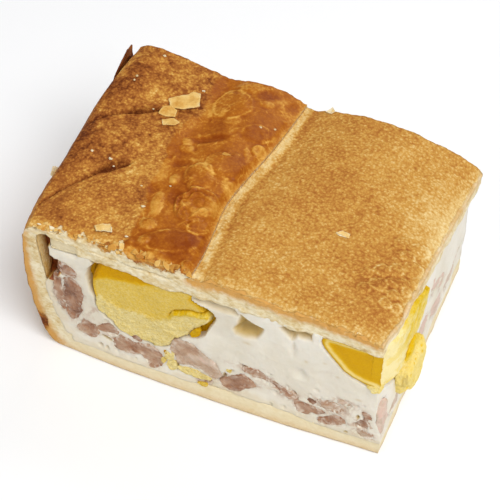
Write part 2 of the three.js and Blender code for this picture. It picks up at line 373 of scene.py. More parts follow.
def slab(name: str, along: int, across: int, through: int) -> tuple[bpy.types.Mesh, Array]:
    """Makes a closed unit slab with fine faces on its two sides and its rim.

    Args:
        name: Name of the mesh.
        along: Faces along x.
        across: Faces along y.
        through: Rows of faces up the rim.

    Returns:
        The mesh, and its corner shares from 0 to 1 as rows of along, across, through.
    """
    shape = bmesh.new()
    bmesh.ops.create_grid(shape, x_segments=along, y_segments=across, size=0.5)
    grown = bmesh.ops.extrude_face_region(shape, geom=shape.faces[:])
    lifted = [part for part in grown["geom"] if isinstance(part, bmesh.types.BMVert)]
    bmesh.ops.translate(shape, verts=lifted, vec=Vector((0, 0, 1)))
    rungs = [edge for edge in shape.edges if abs(edge.verts[0].co.z - edge.verts[1].co.z) > 0.5]
    bmesh.ops.subdivide_edges(shape, edges=rungs, cuts=through - 1)
    bmesh.ops.recalc_face_normals(shape, faces=shape.faces[:])
    mesh = bpy.data.meshes.new(name)
    shape.to_mesh(mesh)
    shape.free()
    return mesh, points_of(mesh) + np.array([0.5, 0.5, 0.0])


def ball(name: str, detail: int) -> tuple[bpy.types.Mesh, Array]:
    """Makes a unit ball of even triangles.

    Args:
        name: Name of the mesh.
        detail: How many times its faces are split.

    Returns:
        The mesh and its points.
    """
    shape = bmesh.new()
    bmesh.ops.create_icosphere(shape, subdivisions=detail, radius=1.0)
    mesh = bpy.data.meshes.new(name)
    shape.to_mesh(mesh)
    shape.free()
    return mesh, points_of(mesh)


def points_of(mesh: bpy.types.Mesh) -> Array:
    """Reads a mesh's points as rows."""
    flat = np.empty(len(mesh.vertices) * 3)
    mesh.vertices.foreach_get("co", flat)
    return flat.reshape(-1, 3)


def set_points(mesh: bpy.types.Mesh, points: Array) -> None:
    """Puts slice points, in millimetres, into a mesh at their place in the row's frame."""
    mesh.vertices.foreach_set("co", SHAPE.placed(points).ravel())
    mesh.update()


def set_values(mesh: bpy.types.Mesh, **values: Array) -> None:
    """Gives a mesh one number, or one vector, per point under each name."""
    for name, value in values.items():
        if value.ndim == 2:
            mesh.attributes.new(name, "FLOAT_VECTOR", "POINT").data.foreach_set("vector", value.ravel())
        else:
            mesh.attributes.new(name, "FLOAT", "POINT").data.foreach_set("value", value)


def joined(name: str, parts: Sequence[Part]) -> bpy.types.Mesh:
    """Joins meshes into one that keeps their values.

    Args:
        name: Name of the mesh.
        parts: Each part's mesh, and the values of its points by name.

    Returns:
        The joined mesh.
    """
    whole = bmesh.new()
    for part, _ in parts:
        whole.from_mesh(part)
        bpy.data.meshes.remove(part)
    mesh = bpy.data.meshes.new(name)
    whole.to_mesh(mesh)
    whole.free()
    set_values(mesh, **{key: np.concatenate([values[key] for _, values in parts]) for key in parts[0][1]})
    return mesh


def show(
    name: str, mesh: bpy.types.Mesh, material: bpy.types.Material, slot: str, *nodes: str
) -> bpy.types.Object:
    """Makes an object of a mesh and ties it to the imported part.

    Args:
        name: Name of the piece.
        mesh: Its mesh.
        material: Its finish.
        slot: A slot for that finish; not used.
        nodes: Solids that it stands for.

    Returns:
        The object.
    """
    mesh.polygons.foreach_set("use_smooth", [True] * len(mesh.polygons))
    mesh.materials.append(material)
    piece = bpy.data.objects.new(name, mesh)
    bpy.context.scene.collection.objects.link(piece)
    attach(piece, "root")
    if nodes:
        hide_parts(*nodes)
    LOG.info("%s: %d faces", name, len(mesh.polygons))
    return piece


@dataclass(frozen=True)
class Wire:
    """A value on its way between nodes: arithmetic on it adds Math nodes."""

    sheet: "NodeSheet"
    socket: bpy.types.NodeSocket

    def __add__(self, other: "Feed") -> "Wire":
        """Adds a value to it."""
        return self.sheet.math("ADD", self, other)

    def __sub__(self, other: "Feed") -> "Wire":
        """Takes a value from it."""
        return self.sheet.math("SUBTRACT", self, other)

    def __rsub__(self, other: float) -> "Wire":
        """Takes it from a number."""
        return self.sheet.math("SUBTRACT", other, self)

    def __mul__(self, other: "Feed") -> "Wire":
        """Multiplies it by a value."""
        return self.sheet.math("MULTIPLY", self, other)

    def held(self) -> "Wire":
        """Holds it between 0 and 1."""
        self.socket.node.use_clamp = True
        return self


Feed = Wire | float | Sequence[float]


class NodeSheet:
    """A node tree with short calls that add and join its nodes."""

    def __init__(self, tree: bpy.types.NodeTree) -> None:
        """Keeps the tree that the calls work on."""
        self.tree = tree

    def add(self, kind: str, settings: dict[str, object] | None = None, **inputs: Feed) -> bpy.types.Node:
        """Adds a node.

        Args:
            kind: Blender's name of the node type.
            settings: Properties of the node itself.
            inputs: Values or wires by input name, with _ for a space.

        Returns:
            The node.
        """
        node = self.tree.nodes.new(kind)
        for key, value in (settings or {}).items():
            setattr(node, key, value)
        self.feed(node, **inputs)
        return node

    def feed(self, node: bpy.types.Node, **inputs: Feed) -> None:
        """Puts values or wires into a node's inputs, named with _ for a space."""
        for key, value in inputs.items():
            self.put(node.inputs[key.replace("_", " ")], value)

    def put(self, socket: bpy.types.NodeSocket, value: Feed) -> None:
        """Joins a wire to an input, or sets the input's value."""
        if isinstance(value, Wire):
            self.tree.links.new(value.socket, socket)
        else:
            socket.default_value = value

    def wire(self, node: bpy.types.Node, output: str | int = 0) -> Wire:
        """Starts a wire at one of a node's outputs."""
        return Wire(self, node.outputs[output])

    def math(self, operation: str, first: Feed, second: Feed = 0.0) -> Wire:
        """Adds a Math node."""
        node = self.add("ShaderNodeMath", {"operation": operation})
        self.put(node.inputs[0], first)
        self.put(node.inputs[1], second)
        return self.wire(node)

    def mix(self, share: Feed, first: Feed, second: Feed) -> Wire:
        """Mixes two colours by a share."""
        node = self.add("ShaderNodeMix", {"data_type": "RGBA"}, Factor=share)
        self.put(node.inputs[6], first)
        self.put(node.inputs[7], second)
        return self.wire(node, 2)

    def ramp(self, value: Feed, *stops: tuple[float, Color]) -> Wire:
        """Turns a value into a colour through stops."""
        node = self.add("ShaderNodeValToRGB", Fac=value)
        elements = node.color_ramp.elements
        while len(elements) < len(stops):
            elements.new(0.5)
        for element, (place, color) in zip(elements, stops):
            element.position = place
            element.color = color
        return self.wire(node, "Color")

    def noise(
        self, vector: Wire, scale: float, detail: float = 3.0, rough: float = 0.55, bent: float = 0.0
    ) -> Wire:
        """Adds a Noise Texture."""
        values = {"Scale": scale, "Detail": detail, "Roughness": rough, "Distortion": bent}
        return self.wire(self.add("ShaderNodeTexNoise", Vector=vector, **values), "Fac")

    def cells(self, vector: Wire, scale: float, feature: str = "F1") -> Wire:
        """Adds a Voronoi Texture."""
        node = self.add("ShaderNodeTexVoronoi", {"feature": feature}, Vector=vector, Scale=scale)
        return self.wire(node, "Distance")

    def stretch(self, vector: Wire, by: Triple) -> Wire:
        """Multiplies a vector's parts."""
        node = self.add("ShaderNodeVectorMath", {"operation": "MULTIPLY"}, Vector=vector)
        node.inputs[1].default_value = by
        return self.wire(node)

    def scale(self, vector: Wire, by: Feed) -> Wire:
        """Scales a vector."""
        return self.wire(self.add("ShaderNodeVectorMath", {"operation": "SCALE"}, Vector=vector, Scale=by))

    def attribute(self, name: str, output: str = "Fac") -> Wire:
        """Reads what a piece's mesh holds under a name."""
        return self.wire(self.add("ShaderNodeAttribute", {"attribute_name": name}), output)

    def place(self) -> Wire:
        """Gives the place on the piece."""
        return self.wire(self.add("ShaderNodeTexCoord"), "Object")

    def bump(self, shader: bpy.types.Node, height: Wire, strength: float, distance: float) -> None:
        """Lets a height roughen a shader's surface."""
        node = self.add("ShaderNodeBump", Height=height, Strength=strength, Distance=distance)
        self.feed(shader, Normal=self.wire(node, "Normal"))


def group(
    name: str, inputs: dict[str, float], outputs: Sequence[str]
) -> tuple[NodeSheet, dict[str, Wire], bpy.types.Node]:
    """Starts a shared node group that reads a place.

    Args:
        name: Name of the group.
        inputs: Its numbers by name, besides the place.
        outputs: Names of the numbers that it puts out.

    Returns:
        The group's sheet, its inputs as wires and its output node.
    """
    tree = bpy.data.node_groups.new(name, "ShaderNodeTree")
    tree.interface.new_socket("Vector", in_out="INPUT", socket_type="NodeSocketVector")
    for label, value in inputs.items():
        tree.interface.new_socket(label, in_out="INPUT", socket_type="NodeSocketFloat").default_value = value
    for label in outputs:
        tree.interface.new_socket(label, in_out="OUTPUT", socket_type="NodeSocketFloat")
    sheet = NodeSheet(tree)
    start = sheet.add("NodeGroupInput")
    wires = {label: sheet.wire(start, label) for label in ("Vector", *inputs)}
    return sheet, wires, sheet.add("NodeGroupOutput")


class Effects:
    """Effects that several finishes share."""

    def __init__(self) -> None:
        """Builds the groups once."""
        self.mottle = self._mottle()
        self.crumb = self._crumb()
        self.rim_highlights = self._rim_highlights()

    def _mottle(self) -> bpy.types.NodeTree:
        """Builds uneven colouring in flecks, patches and broad areas around zero."""
        shares = {"Fleck": 0.2, "Patch": 0.2, "Broad": 0.2, "Size": 1.0}
        sheet, start, end = group("uneven_colouring", shares, ("Value", "Fine"))
        vector = start["Vector"]
        sized = sheet.scale(vector, start["Size"])
        dust = sheet.noise(sheet.stretch(sized, (0.85, 1.05, 1.0)), 1050, 4, 0.75, 0.7)
        fine = sheet.cells(sized, 1250.0) * 0.25 + dust * 0.75
        fleck = fine - 0.5
        fleck = fleck - sheet.math("ABSOLUTE", fleck) * 0.15
        patch = sheet.noise(vector, 210, 5, 0.65) - 0.5
        broad = sheet.noise(vector, 42, 3, 0.5) - 0.5
        total = broad * start["Broad"] + (patch * start["Patch"] + fleck * start["Fleck"])
        sheet.feed(end, Value=total, Fine=fine)
        return sheet.tree

    def _crumb(self) -> bpy.types.NodeTree:
        """Builds a crumbly height in grains and fine dust."""
        sheet, start, end = group("crumb_height", {"Size": 1.0}, ("Height",))
        sized = sheet.scale(start["Vector"], start["Size"])
        sheet.feed(end, Height=sheet.cells(sized, 900.0) * -0.6 + sheet.noise(sized, 1800, 3, 0.6))
        return sheet.tree

    def _rim_highlights(self) -> bpy.types.NodeTree:
        """Builds broken pale lines round blisters: painted highlights along their rims."""
        sheet, start, end = group("glaze_rim_highlights", {}, ("Value",))
        vector = start["Vector"]
        drift = sheet.wire(sheet.add("ShaderNodeTexNoise", Vector=vector, Scale=170.0, Detail=2.0), "Color")
        bent = sheet.add("ShaderNodeVectorMath", {"operation": "ADD"}, Vector=vector)
        sheet.put(bent.inputs[1], sheet.scale(drift, 0.008))
        line = sheet.cells(sheet.wire(bent), 170.0, "DISTANCE_TO_EDGE")
        line = sheet.ramp(line, (0.0, WHITE), (0.05, BLACK))
        broken = sheet.ramp(sheet.noise(vector, 240, 3), (0.47, BLACK), (0.6, WHITE))
        sheet.feed(end, Value=line * broken)
        return sheet.tree

    @staticmethod
    def use(sheet: NodeSheet, tree: bpy.types.NodeTree, **inputs: Feed) -> dict[str, Wire]:
        """Places a group in a material with its own values and gives its outputs."""
        node = sheet.add("ShaderNodeGroup", {"node_tree": tree}, **inputs)
        return {socket.name: Wire(sheet, socket) for socket in node.outputs}


def material(name: str) -> tuple[bpy.types.Material, NodeSheet, bpy.types.Node]:
    """Starts a finish.

    Args:
        name: Name of the finish.

    Returns:
        The material, its sheet and its Principled shader.
    """
    finish = bpy.data.materials.new(name)
    finish.use_nodes = True
    sheet = NodeSheet(finish.node_tree)
    return finish, sheet, finish.node_tree.nodes["Principled BSDF"]


@dataclass(frozen=True)
class Outline:
    """A closed outline in a cut face, through corner points."""

    corners: Pairs

    def outside(self, a: Array, b: Array) -> Array:
        """Measures how far outside the outline points are.

        Args:
            a: First coordinates in the face.
            b: Second coordinates in the face.

        Returns:
            Distances in millimetres, negative inside.
        """
        away, inside = np.full(len(a), np.inf), np.zeros(len(a), bool)
        for (a1, b1), (a2, b2) in zip(self.corners, self.corners[1:] + self.corners[:1]):
            da, db = a2 - a1, b2 - b1
            t = np.clip(((a - a1) * da + (b - b1) * db) / (da * da + db * db), 0, 1)
            away = np.minimum(away, np.hypot(a - a1 - t * da, b - b1 - t * db))
            if abs(db) > 1e-9:
                inside ^= ((b1 > b) != (b2 > b)) & (a < da * (b - b1) / db + a1)
        return np.where(inside, -away, away)

    def span(self) -> tuple[float, float, float, float]:
        """Gives the middle and the half sizes of the box round the outline."""
        low, high = np.min(self.corners, axis=0), np.max(self.corners, axis=0)
        return (*((low + high) / 2), *((high - low) / 2))


@dataclass(frozen=True)
class CrustFinish:
    """Baked pastry: brown outside, glazed on the lapped edge, pale and crumbly where cut.

    The mesh says how brown it is (bake), how cut (cut), how glazed (wash) and how near its skin (rind), which
    on the lid's tucked end also carries a painted shadow line under the flap.
    """

    name: str
    fleck: float
    patch: float
    broad: float
    stops: Stops = shades(
        (0.0, 238, 210, 150), (0.22, 226, 185, 108), (0.42, 203, 147, 65), (0.6, 176, 113, 47),
        (0.78, 147, 84, 33), (1.0, 98, 45, 13),
    )
    wash_stops: Stops = shades(
        (0.0, 222, 170, 84), (0.28, 200, 140, 54), (0.5, 172, 101, 24), (0.74, 149, 77, 13),
        (1.0, 130, 58, 2),
    )
    cut_stops: Stops = shades((0.34, 200, 166, 108), (0.46, 220, 200, 154), (0.58, 235, 223, 192))
    toasted_and_shade: Color = tone(208, 156, 84)

    def make(self, effects: Effects) -> bpy.types.Material:
        """Builds the material.

        Args:
            effects: The shared groups.

        Returns:
            The material.
        """
        finish, sheet, shader = material(self.name)
        place = sheet.place()
        bake, wash = sheet.attribute("bake"), sheet.attribute("wash")
        specks = (sheet.noise(place, 1500, 3, 0.7) - 0.5) * 1.1
        cut = ((sheet.attribute("cut") + specks - 0.36) * 3.5).held()
        shares = {"Fleck": self.fleck, "Patch": self.patch, "Broad": self.broad}
        uneven = effects.use(sheet, effects.mottle, Vector=place, **shares)
        smooth = effects.use(sheet, effects.mottle, Vector=place, Fleck=0.8, Patch=0.4, Broad=0.15)
        # Pale broken lines on the glaze: painted highlights on blister rims.
        rim_highlights = effects.use(sheet, effects.rim_highlights, Vector=place)["Value"] * 0.22
        dry = sheet.ramp((bake + uneven["Value"]).held(), *self.stops)
        glazed = sheet.ramp((bake + smooth["Value"] - rim_highlights).held(), *self.wash_stops)
        crumb = effects.use(sheet, effects.crumb, Vector=place, Size=1.0)["Height"]
        grain = sheet.noise(sheet.stretch(place, (0.75, 0.8, 1.25)), 900, 4, 0.65) * 0.55
        level = grain + sheet.noise(place, 200, 3) * 0.45
        calm = sheet.mix(sheet.attribute("dough"), level, level * 0.25 + 0.41)
        # Near the skin the cut turns toast colour; on the lid's tucked end the same tint is a painted shadow
        # line under the flap.
        edge = (sheet.attribute("rind") * (sheet.noise(place, 420, 4) * 1.7 + specks)).held()
        opened = sheet.mix(edge, sheet.ramp(calm, *self.cut_stops), self.toasted_and_shade)
        gloss = wash * (1.0 - cut)
        sheet.feed(
            shader,
            Base_Color=sheet.mix(cut, sheet.mix(wash, dry, glazed), opened),
            Roughness=(0.66 - gloss * 0.28) + uneven["Fine"] * 0.1,
            Coat_Weight=gloss * 0.04,
            Coat_Roughness=0.15,
            Specular_IOR_Level=0.11,
        )
        fine = uneven["Fine"] * (1.0 - wash * 0.7) * -0.8
        height = sheet.add("ShaderNodeMix", {"data_type": "FLOAT"}, Factor=cut, A=fine, B=level + crumb * 0.3)
        sheet.bump(shader, sheet.wire(height), 0.6, 0.0007)
        return finish


LID_STOPS = shades(
    (0.0, 236, 213, 160), (0.22, 222, 188, 122), (0.42, 200, 149, 69), (0.6, 175, 114, 48),
    (0.78, 147, 84, 33), (1.0, 98, 45, 13),
)


@dataclass(frozen=True)
class EggWhiteFinish:
    """Set egg white: off-white, smooth and moist, with smears of fat, meat and yolk, and painted shade in its
    hollows and gaps.
    """

    name: str = "set_egg_white"
    clear: Color = tone(232, 227, 215)
    cloudy: Color = tone(212, 202, 180)
    # Tint for stains and for painted shade in hollows; the dark brown is painted shade in voids and gaps.
    stained: Color = tone(196, 166, 92)
    brown_shade: Color = tone(140, 66, 24)
    meaty: Color = tone(182, 150, 126)

    def make(self, effects: Effects) -> bpy.types.Material:
        """Builds the material.

        Args:
            effects: The shared groups.

        Returns:
            The material.
        """
        finish, sheet, shader = material(self.name)
        place = sheet.place()
        uneven = effects.use(sheet, effects.mottle, Vector=place, Fleck=0.1, Patch=0.9, Broad=1.6)
        body = sheet.mix((uneven["Value"] + 0.42).held(), self.clear, self.cloudy)
        blotch = sheet.ramp(sheet.noise(place, 520, 4, 0.6, 0.8), (0.42, BLACK), (0.62, WHITE))
        body = sheet.mix((sheet.attribute("meat") * blotch).held(), body, self.meaty)
        # Low values tint yolk stains and the painted shade of the hollows; above 0.84 the white turns dark
        # brown, painted shade in voids, holes and gaps, partly the baked crust showing there.
        stain = sheet.attribute("stain")
        body = sheet.mix((stain * 1.25).held(), body, self.stained)
        dark = ((stain - 0.84).held() * 6.0).held()
        sheet.feed(
            shader,
            Base_Color=sheet.mix(dark, body, self.brown_shade),
            Roughness=uneven["Fine"] * 0.2 + 0.36,
            Subsurface_Weight=0.2,
            Subsurface_Radius=(0.004, 0.003, 0.002),
            Subsurface_Scale=0.5,
            Specular_IOR_Level=0.35,
        )
        sheet.bump(shader, sheet.noise(place, 700, 4, 0.6) + sheet.noise(place, 220, 3) * 1.4, 0.3, 0.0005)
        return finish


@dataclass(frozen=True)
class BaconFinish:
    """Cooked chopped bacon: brown mauve to pink, fibrous and moist, with films of white."""

    name: str = "cooked_bacon"
    stops: Stops = shades(
        (0.0, 120, 74, 44), (0.3, 157, 111, 79), (0.6, 180, 147, 119), (0.8, 193, 170, 148),
        (1.0, 209, 178, 161),
    )
    film: Color = tone(226, 216, 200)

    def make(self, effects: Effects) -> bpy.types.Material:
        """Builds the material.

        Args:
            effects: The shared groups.

        Returns:
            The material.
        """
        finish, sheet, shader = material(self.name)
        place = sheet.place()
        fibre = sheet.stretch(sheet.attribute("fibre", "Vector"), (0.35, 0.6, 1.6))
        strands = sheet.noise(fibre, 520, 4, 0.6, 0.6)
        uneven = effects.use(sheet, effects.mottle, Vector=place, Fleck=0.3, Patch=0.6, Broad=0.2)
        lean = (sheet.attribute("lean") + uneven["Value"] + (strands - 0.5) * 0.7).held()
        blotch = sheet.ramp(sheet.noise(place, 430, 5, 0.65, 1.2), (0.45, BLACK), (0.63, WHITE))
        smear = (sheet.attribute("film") * blotch).held()
        sheet.feed(
            shader,
            Base_Color=sheet.mix(smear, sheet.ramp(lean, *self.stops), self.film),
            Roughness=uneven["Fine"] * 0.3 + 0.32,
            Subsurface_Weight=0.1,
            Subsurface_Radius=(0.003, 0.0015, 0.001),
            Subsurface_Scale=0.4,
            Specular_IOR_Level=0.4,
        )
        sheet.bump(shader, strands * 1.2 + sheet.noise(place, 600, 4, 0.65), 0.45, 0.0006)
        return finish


@dataclass(frozen=True)
class YolkFinish:
    """Hard-set yolk: deep gold where it is smooth, pale and crumbly where it broke."""

    name: str = "set_yolk"
    stops: Stops = shades(
        (0.0, 176, 122, 0), (0.15, 203, 150, 2), (0.35, 216, 170, 26), (0.55, 220, 187, 84),
        (0.75, 229, 206, 132), (1.0, 244, 229, 172),
    )
    bright_stops: Stops = shades(
        (0.0, 190, 138, 0), (0.2, 216, 168, 0), (0.4, 227, 186, 22), (0.6, 232, 201, 82),
        (0.8, 238, 215, 130), (1.0, 243, 227, 168),
    )

    def make(self, effects: Effects) -> bpy.types.Material:
        """Builds the material.

        Args:
            effects: The shared groups.

        Returns:
            The material.
        """
        finish, sheet, shader = material(self.name)
        place, crumbly = sheet.place(), sheet.attribute("crumbly")
        uneven = effects.use(sheet, effects.mottle, Vector=place, Fleck=0.6, Patch=0.16, Broad=0.06, Size=1.5)
        tint = (sheet.attribute("pale") + uneven["Value"] * (crumbly + 0.3)).held()
        plain, bright = sheet.ramp(tint, *self.stops), sheet.ramp(tint, *self.bright_stops)
        sheet.feed(
            shader,
            Base_Color=sheet.mix(sheet.attribute("bright"), plain, bright),
            Roughness=crumbly * 0.25 + 0.55,
            Specular_IOR_Level=0.05,
        )
        crumb = effects.use(sheet, effects.crumb, Vector=place, Size=1.1)["Height"]
        sheet.bump(shader, crumb * (crumbly + 0.15), 0.8, 0.0006)
        return finish


class MarkKind(Enum):
    """How a mark of the glaze is formed."""

    DOME = "dome"
    RING = "ring"
    PALE = "pale"
    SUNK = "sunk"


DOME, RING, PALE, SUNK = MarkKind


@dataclass(frozen=True)
class Mark:
    """A blister or hollow in the glaze: place, half sizes, height, turn in degrees, browning and kind."""

    x: float
    y: float
    wide: float
    deep: float
    high: float
    turn: float = 0.0
    brown: float = 0.0
    kind: MarkKind = DOME

    def reach(self, x: Array, y: Array) -> Array:
        """How far out a plan point is, with 1 at the mark's rim."""
        angle = math.radians(self.turn)
        dx, dy = x - self.x, y - self.y
        a = dx * math.cos(angle) + dy * math.sin(angle)
        b = -dx * math.sin(angle) + dy * math.cos(angle)
        return np.hypot(a / self.wide, b / self.deep)

    def press(self, r: Array, wrinkle: Array) -> tuple[Array, Array]:
        """Works out what the mark does to the surface.

        Args:
            r: How far out each point is.
            wrinkle: Wrinkle noise at each point.

        Returns:
            Height change, and browning change that holds a painted highlight on the rim and, for a ring,
            painted light on folds and painted shade in creases.
        """
        line = 0.32 / min(self.wide, self.deep)
        inside, rim = ease(1.0 + line, 1.0 - line, r), bell(r - 1.0, line)
        foot = bell(r - 1.0 - 2 * line, 1.4 * line)
        if self.kind is RING:
            wave = np.cos(math.tau * (1.25 * r + 1.1 * wrinkle)) * ease(1.05, 0.85, r)
            fold, crease = np.clip(wave, 0, 1) ** 2, np.clip(-wave, 0, 1) ** 2
            height = self.high * (0.3 * rim + 0.45 * inside + 0.25 * fold - 0.2 * crease)
            # Lighter rim and folds, darker creases: painted highlights and painted shade on the wrinkles.
            brown = self.brown * inside + 0.1 * foot - 0.2 * rim * (0.6 + wrinkle)
            return height, brown - 0.16 * fold + 0.12 * crease
        if self.kind is PALE:
            return 0.7 * self.high * ease(1.15, 0.4, r), self.brown * ease(1.15, 0.8, r) + 0.05 * foot
        if self.kind is SUNK:
            return 0.6 * self.high * ease(1.2, 0.3, r), self.brown * ease(1.25, 0.55, r) - 0.06 * foot
        height = 0.55 * self.high * (ease(1.15, 0.6, r) + 0.25 * rim)
        # Lighter rim: a painted highlight round the blister; the foot is a little darker.
        return height, self.brown * inside + 0.09 * foot - 0.36 * rim * np.clip(0.7 + 1.4 * wrinkle, 0.15, 1)


@dataclass(frozen=True)
class Slash:
    """A knife slash: its line in plan, and how wide it gapes along the way."""

    line: Pairs
    gape: Curve

    def measure(self, x: Array, y: Array) -> tuple[Array, Array, Array]:
        """Measures plan points against the slash.

        Args:
            x: Plan places along the front.
            y: Plan places front to back.

        Returns:
            Distance from the line, share of the way along it, and side, above 0 towards the front right.
        """
        lengths = [math.dist(p, q) for p, q in zip(self.line, self.line[1:])]
        away, along, side = np.full(len(x), np.inf), np.zeros(len(x)), np.zeros(len(x))
        done = 0.0
        for (x1, y1), (x2, y2), length in zip(self.line, self.line[1:], lengths):
            dx, dy = (x2 - x1) / length, (y2 - y1) / length
            t = np.clip((x - x1) * dx + (y - y1) * dy, 0, length)
            reach = np.hypot(x - x1 - t * dx, y - y1 - t * dy)
            closer = reach < away
            away = np.where(closer, reach, away)
            along = np.where(closer, (done + t) / sum(lengths), along)
            side = np.where(closer, (x - x1) * dy - (y - y1) * dx, side)
            done += length
        return away, along, side


@dataclass
class PastryCase:
    """Bottom crust, side wall and the flap folded over the top, in one sheet."""

    base_faces: int = 22
    wall_faces: int = 44
    flap_faces: int = 146
    depth_faces: int = 196
    rim_rows: int = 10
    edge_thick: float = 0.9
    freckles: int = 34
    seed: int = 29
    slash_depth: float = 2.8
    slash_sink: float = 0.9
    slashes: tuple[Slash, ...] = (
        Slash(
            ((-51, 4.3), (-48, 6.8), (-44.5, 10), (-40.5, 12.6), (-36.5, 15.2), (-34.6, 16.4)),
            Curve(((0, 0.1), (0.3, 0.2), (0.5, 0.45), (0.72, 0.8), (0.92, 0.6), (1, 0.1))),
        ),
        Slash(
            ((-50.2, -27), (-47.5, -21.5), (-43.5, -16), (-40, -11.2), (-37, -7.8), (-33.6, -5.2)),
            Curve(((0, 0.1), (0.3, 0.25), (0.55, 0.3), (0.68, 0.6), (0.83, 1.15), (0.95, 0.8), (1, 0.1))),
        ),
    )
    scorches: Spots = (
        (-46.5, 5.0, 6.0, 3.0, 0.12),
        (-48.0, -3.5, 5.0, 4.0, 0.1),
        (-50.0, 14.0, 3.0, 10.0, 0.06),
        (-45.0, 30.0, 4.0, 6.0, 0.06),
        (-44.0, -27.5, 5.0, 4.0, 0.09),
        (-50.0, -14.0, 3.0, 9.0, 0.08),
        (-39.0, -9.5, 4.0, 3.0, 0.1),
        (-40.0, 20.0, 5.0, 3.5, -0.1),
        (-32.0, 4.0, 4.0, 7.0, -0.09),
        (-31.0, -10.0, 4.0, 9.0, -0.08),
        (-36.0, 33.0, 6.0, 5.0, -0.06),
        (-34.0, -24.0, 7.0, 5.0, -0.05),
    )
    glaze_edge: Curve = Curve(
        ((-34, -21.6), (-27, -22.4), (-19, -23), (-11, -25.3), (-4, -25.6), (4, -26.8), (12, -26.6),
            (20, -25), (30, -25.8), (36, -26.2))
    )
    marks: tuple[Mark, ...] = (
        Mark(-17.7, 25.8, 5.3, 6.1, 1.0, 23, 0.03),
        Mark(-9.9, 32.7, 3.2, 2.1, -0.4, 23, 0.26, SUNK),
        Mark(-8.9, 29.3, 2.4, 1.3, 0.3, 23, -0.17, PALE),
        Mark(-7.0, 17.7, 4.2, 3.1, 0.5, 23, 0.17),
        Mark(-4.0, 12.3, 1.9, 2.0, 0.9, 23, -0.2, RING),
        Mark(-17.5, 10.8, 5.2, 1.6, -0.7, 23, 0.28, SUNK),
        Mark(-23.2, 7.8, 1.5, 1.5, 0.6, 0, -0.24, PALE),
        Mark(-22.3, 5.5, 1.9, 1.6, 0.6, 0, -0.24, PALE),
        Mark(-6.4, 9.5, 0.9, 2.5, 0.3, 23, -0.18, PALE),
        Mark(-9.7, 2.7, 5.6, 4.6, 1.1, 23, 0.07),
        Mark(-14.5, -4.0, 3.9, 5.0, 1.2, 23, -0.02),
        Mark(-10.5, -13.7, 5.6, 5.6, 1.4, 23, 0.02, RING),
        Mark(-7.3, -20.7, 2.5, 2.2, 0.8, 23, -0.08),
        Mark(-11.5, -27.8, 7.4, 3.5, 0.8, 23, 0.1),
        Mark(-17.6, -30.3, 1.6, 1.4, 0.9, 20, -0.24, PALE),
        Mark(-4.4, -33.2, 1.5, 1.5, 0.8, 0, -0.08),
        Mark(-5.6, -3.8, 2.4, 2.8, 0.2, 23, -0.2, PALE),
        Mark(-6.2, -1.2, 0.9, 0.8, -0.4, 0, 0.24, SUNK),
        Mark(-21.0, -0.7, 3.0, 1.3, -0.5, 23, 0.22, SUNK),
        Mark(-20.0, -7.0, 1.5, 2.4, 0.6, 23, -0.26, PALE),
        Mark(-16.9, -13.1, 2.1, 3.0, -0.5, 23, 0.22, SUNK),
        Mark(-4.7, -28.1, 1.5, 1.3, 0.3, 23, -0.18, PALE),
        Mark(-20.5, 21.4, 2.7, 2.3, 0.3, 23, -0.14, PALE),
        Mark(-14.9, 19.4, 2.6, 1.6, 0.2, 23, -0.18, PALE),
        Mark(-20.4, -16.9, 1.7, 4.8, 0.6, 16, -0.24, PALE),
        Mark(-19.4, -24.9, 2.3, 2.2, 1.2, 0, -0.26, PALE),
        Mark(-24.0, -12.2, 1.8, 2.0, -0.4, 0, 0.18, SUNK),
        Mark(-13.0, -33.2, 2.6, 1.3, 0.6, 10, -0.14, PALE),
        Mark(-2.4, 32.5, 2.0, 2.6, -0.3, 0, 0.16, SUNK),
        Mark(-16.6, 33.6, 4.2, 2.2, 0.5, 10, -0.05, PALE),
    )
    grain: Grain = Grain(11)

    def _section(self, shares: Array) -> tuple[Array, Array, Array, Array]:
        """Walks the bent sheet.

        Args:
            shares: Shares along, across and through the sheet.

        Returns:
            x, y and z before the warp, and the index along the sheet.
        """
        u, v, w = shares.T
        index = u * (self.base_faces + self.wall_faces + self.flap_faces)
        turned = self.base_faces + self.wall_faces
        on_base = index <= self.base_faces + EDGE
        on_flap = index > turned + EDGE
        base = np.clip(index / self.base_faces, 0, 1)
        wall = np.clip((index - self.base_faces) / self.wall_faces, 0, 1)
        flap = np.interp((index - turned) / self.flap_faces, [0, 0.42, 1], [0, 0.5, 1])
        out_x, out_z = SHAPE.wall_out.at(wall)
        in_x, in_z = SHAPE.wall_in.at(wall)
        up = np.where(on_flap, 45.0, np.where(on_base, 0.0, blend(in_z, out_z, w)))
        y = blend(SHAPE.front, SHAPE.back + SHAPE.back_overhang * ease(20, 44, up), v)
        base_in = blend(SHAPE.right, SHAPE.wall_in.points[0][0], base)
        base_top = np.minimum(SHAPE.base_top(base_in), blend(SHAPE.base_top(base_in), 5.0, base))
        flap_out = blend(SHAPE.flap_start, SHAPE.step(y), flap)
        flap_in = blend(SHAPE.wall_in.points[-1][0], SHAPE.step(y), flap)
        under = SHAPE.lid_top(flap_in) + SHAPE.gap + 0.8 * ease(-41, -43.5, flap_in)
        over = blend(SHAPE.flap_top(flap_out), under + self.edge_thick, ease(0.955, 1.0, flap) * 0.85)
        picks = [on_base, on_flap]
        out_x = np.select(picks, [blend(SHAPE.right, SHAPE.wall_foot, base), flap_out], out_x)
        out_z = np.select(picks, [base * 0, over], out_z)
        in_x = np.select(picks, [base_in, flap_in], in_x)
        in_z = np.select(picks, [base_top, under], in_z)
        return blend(in_x, out_x, w), y, blend(in_z, out_z, w), index

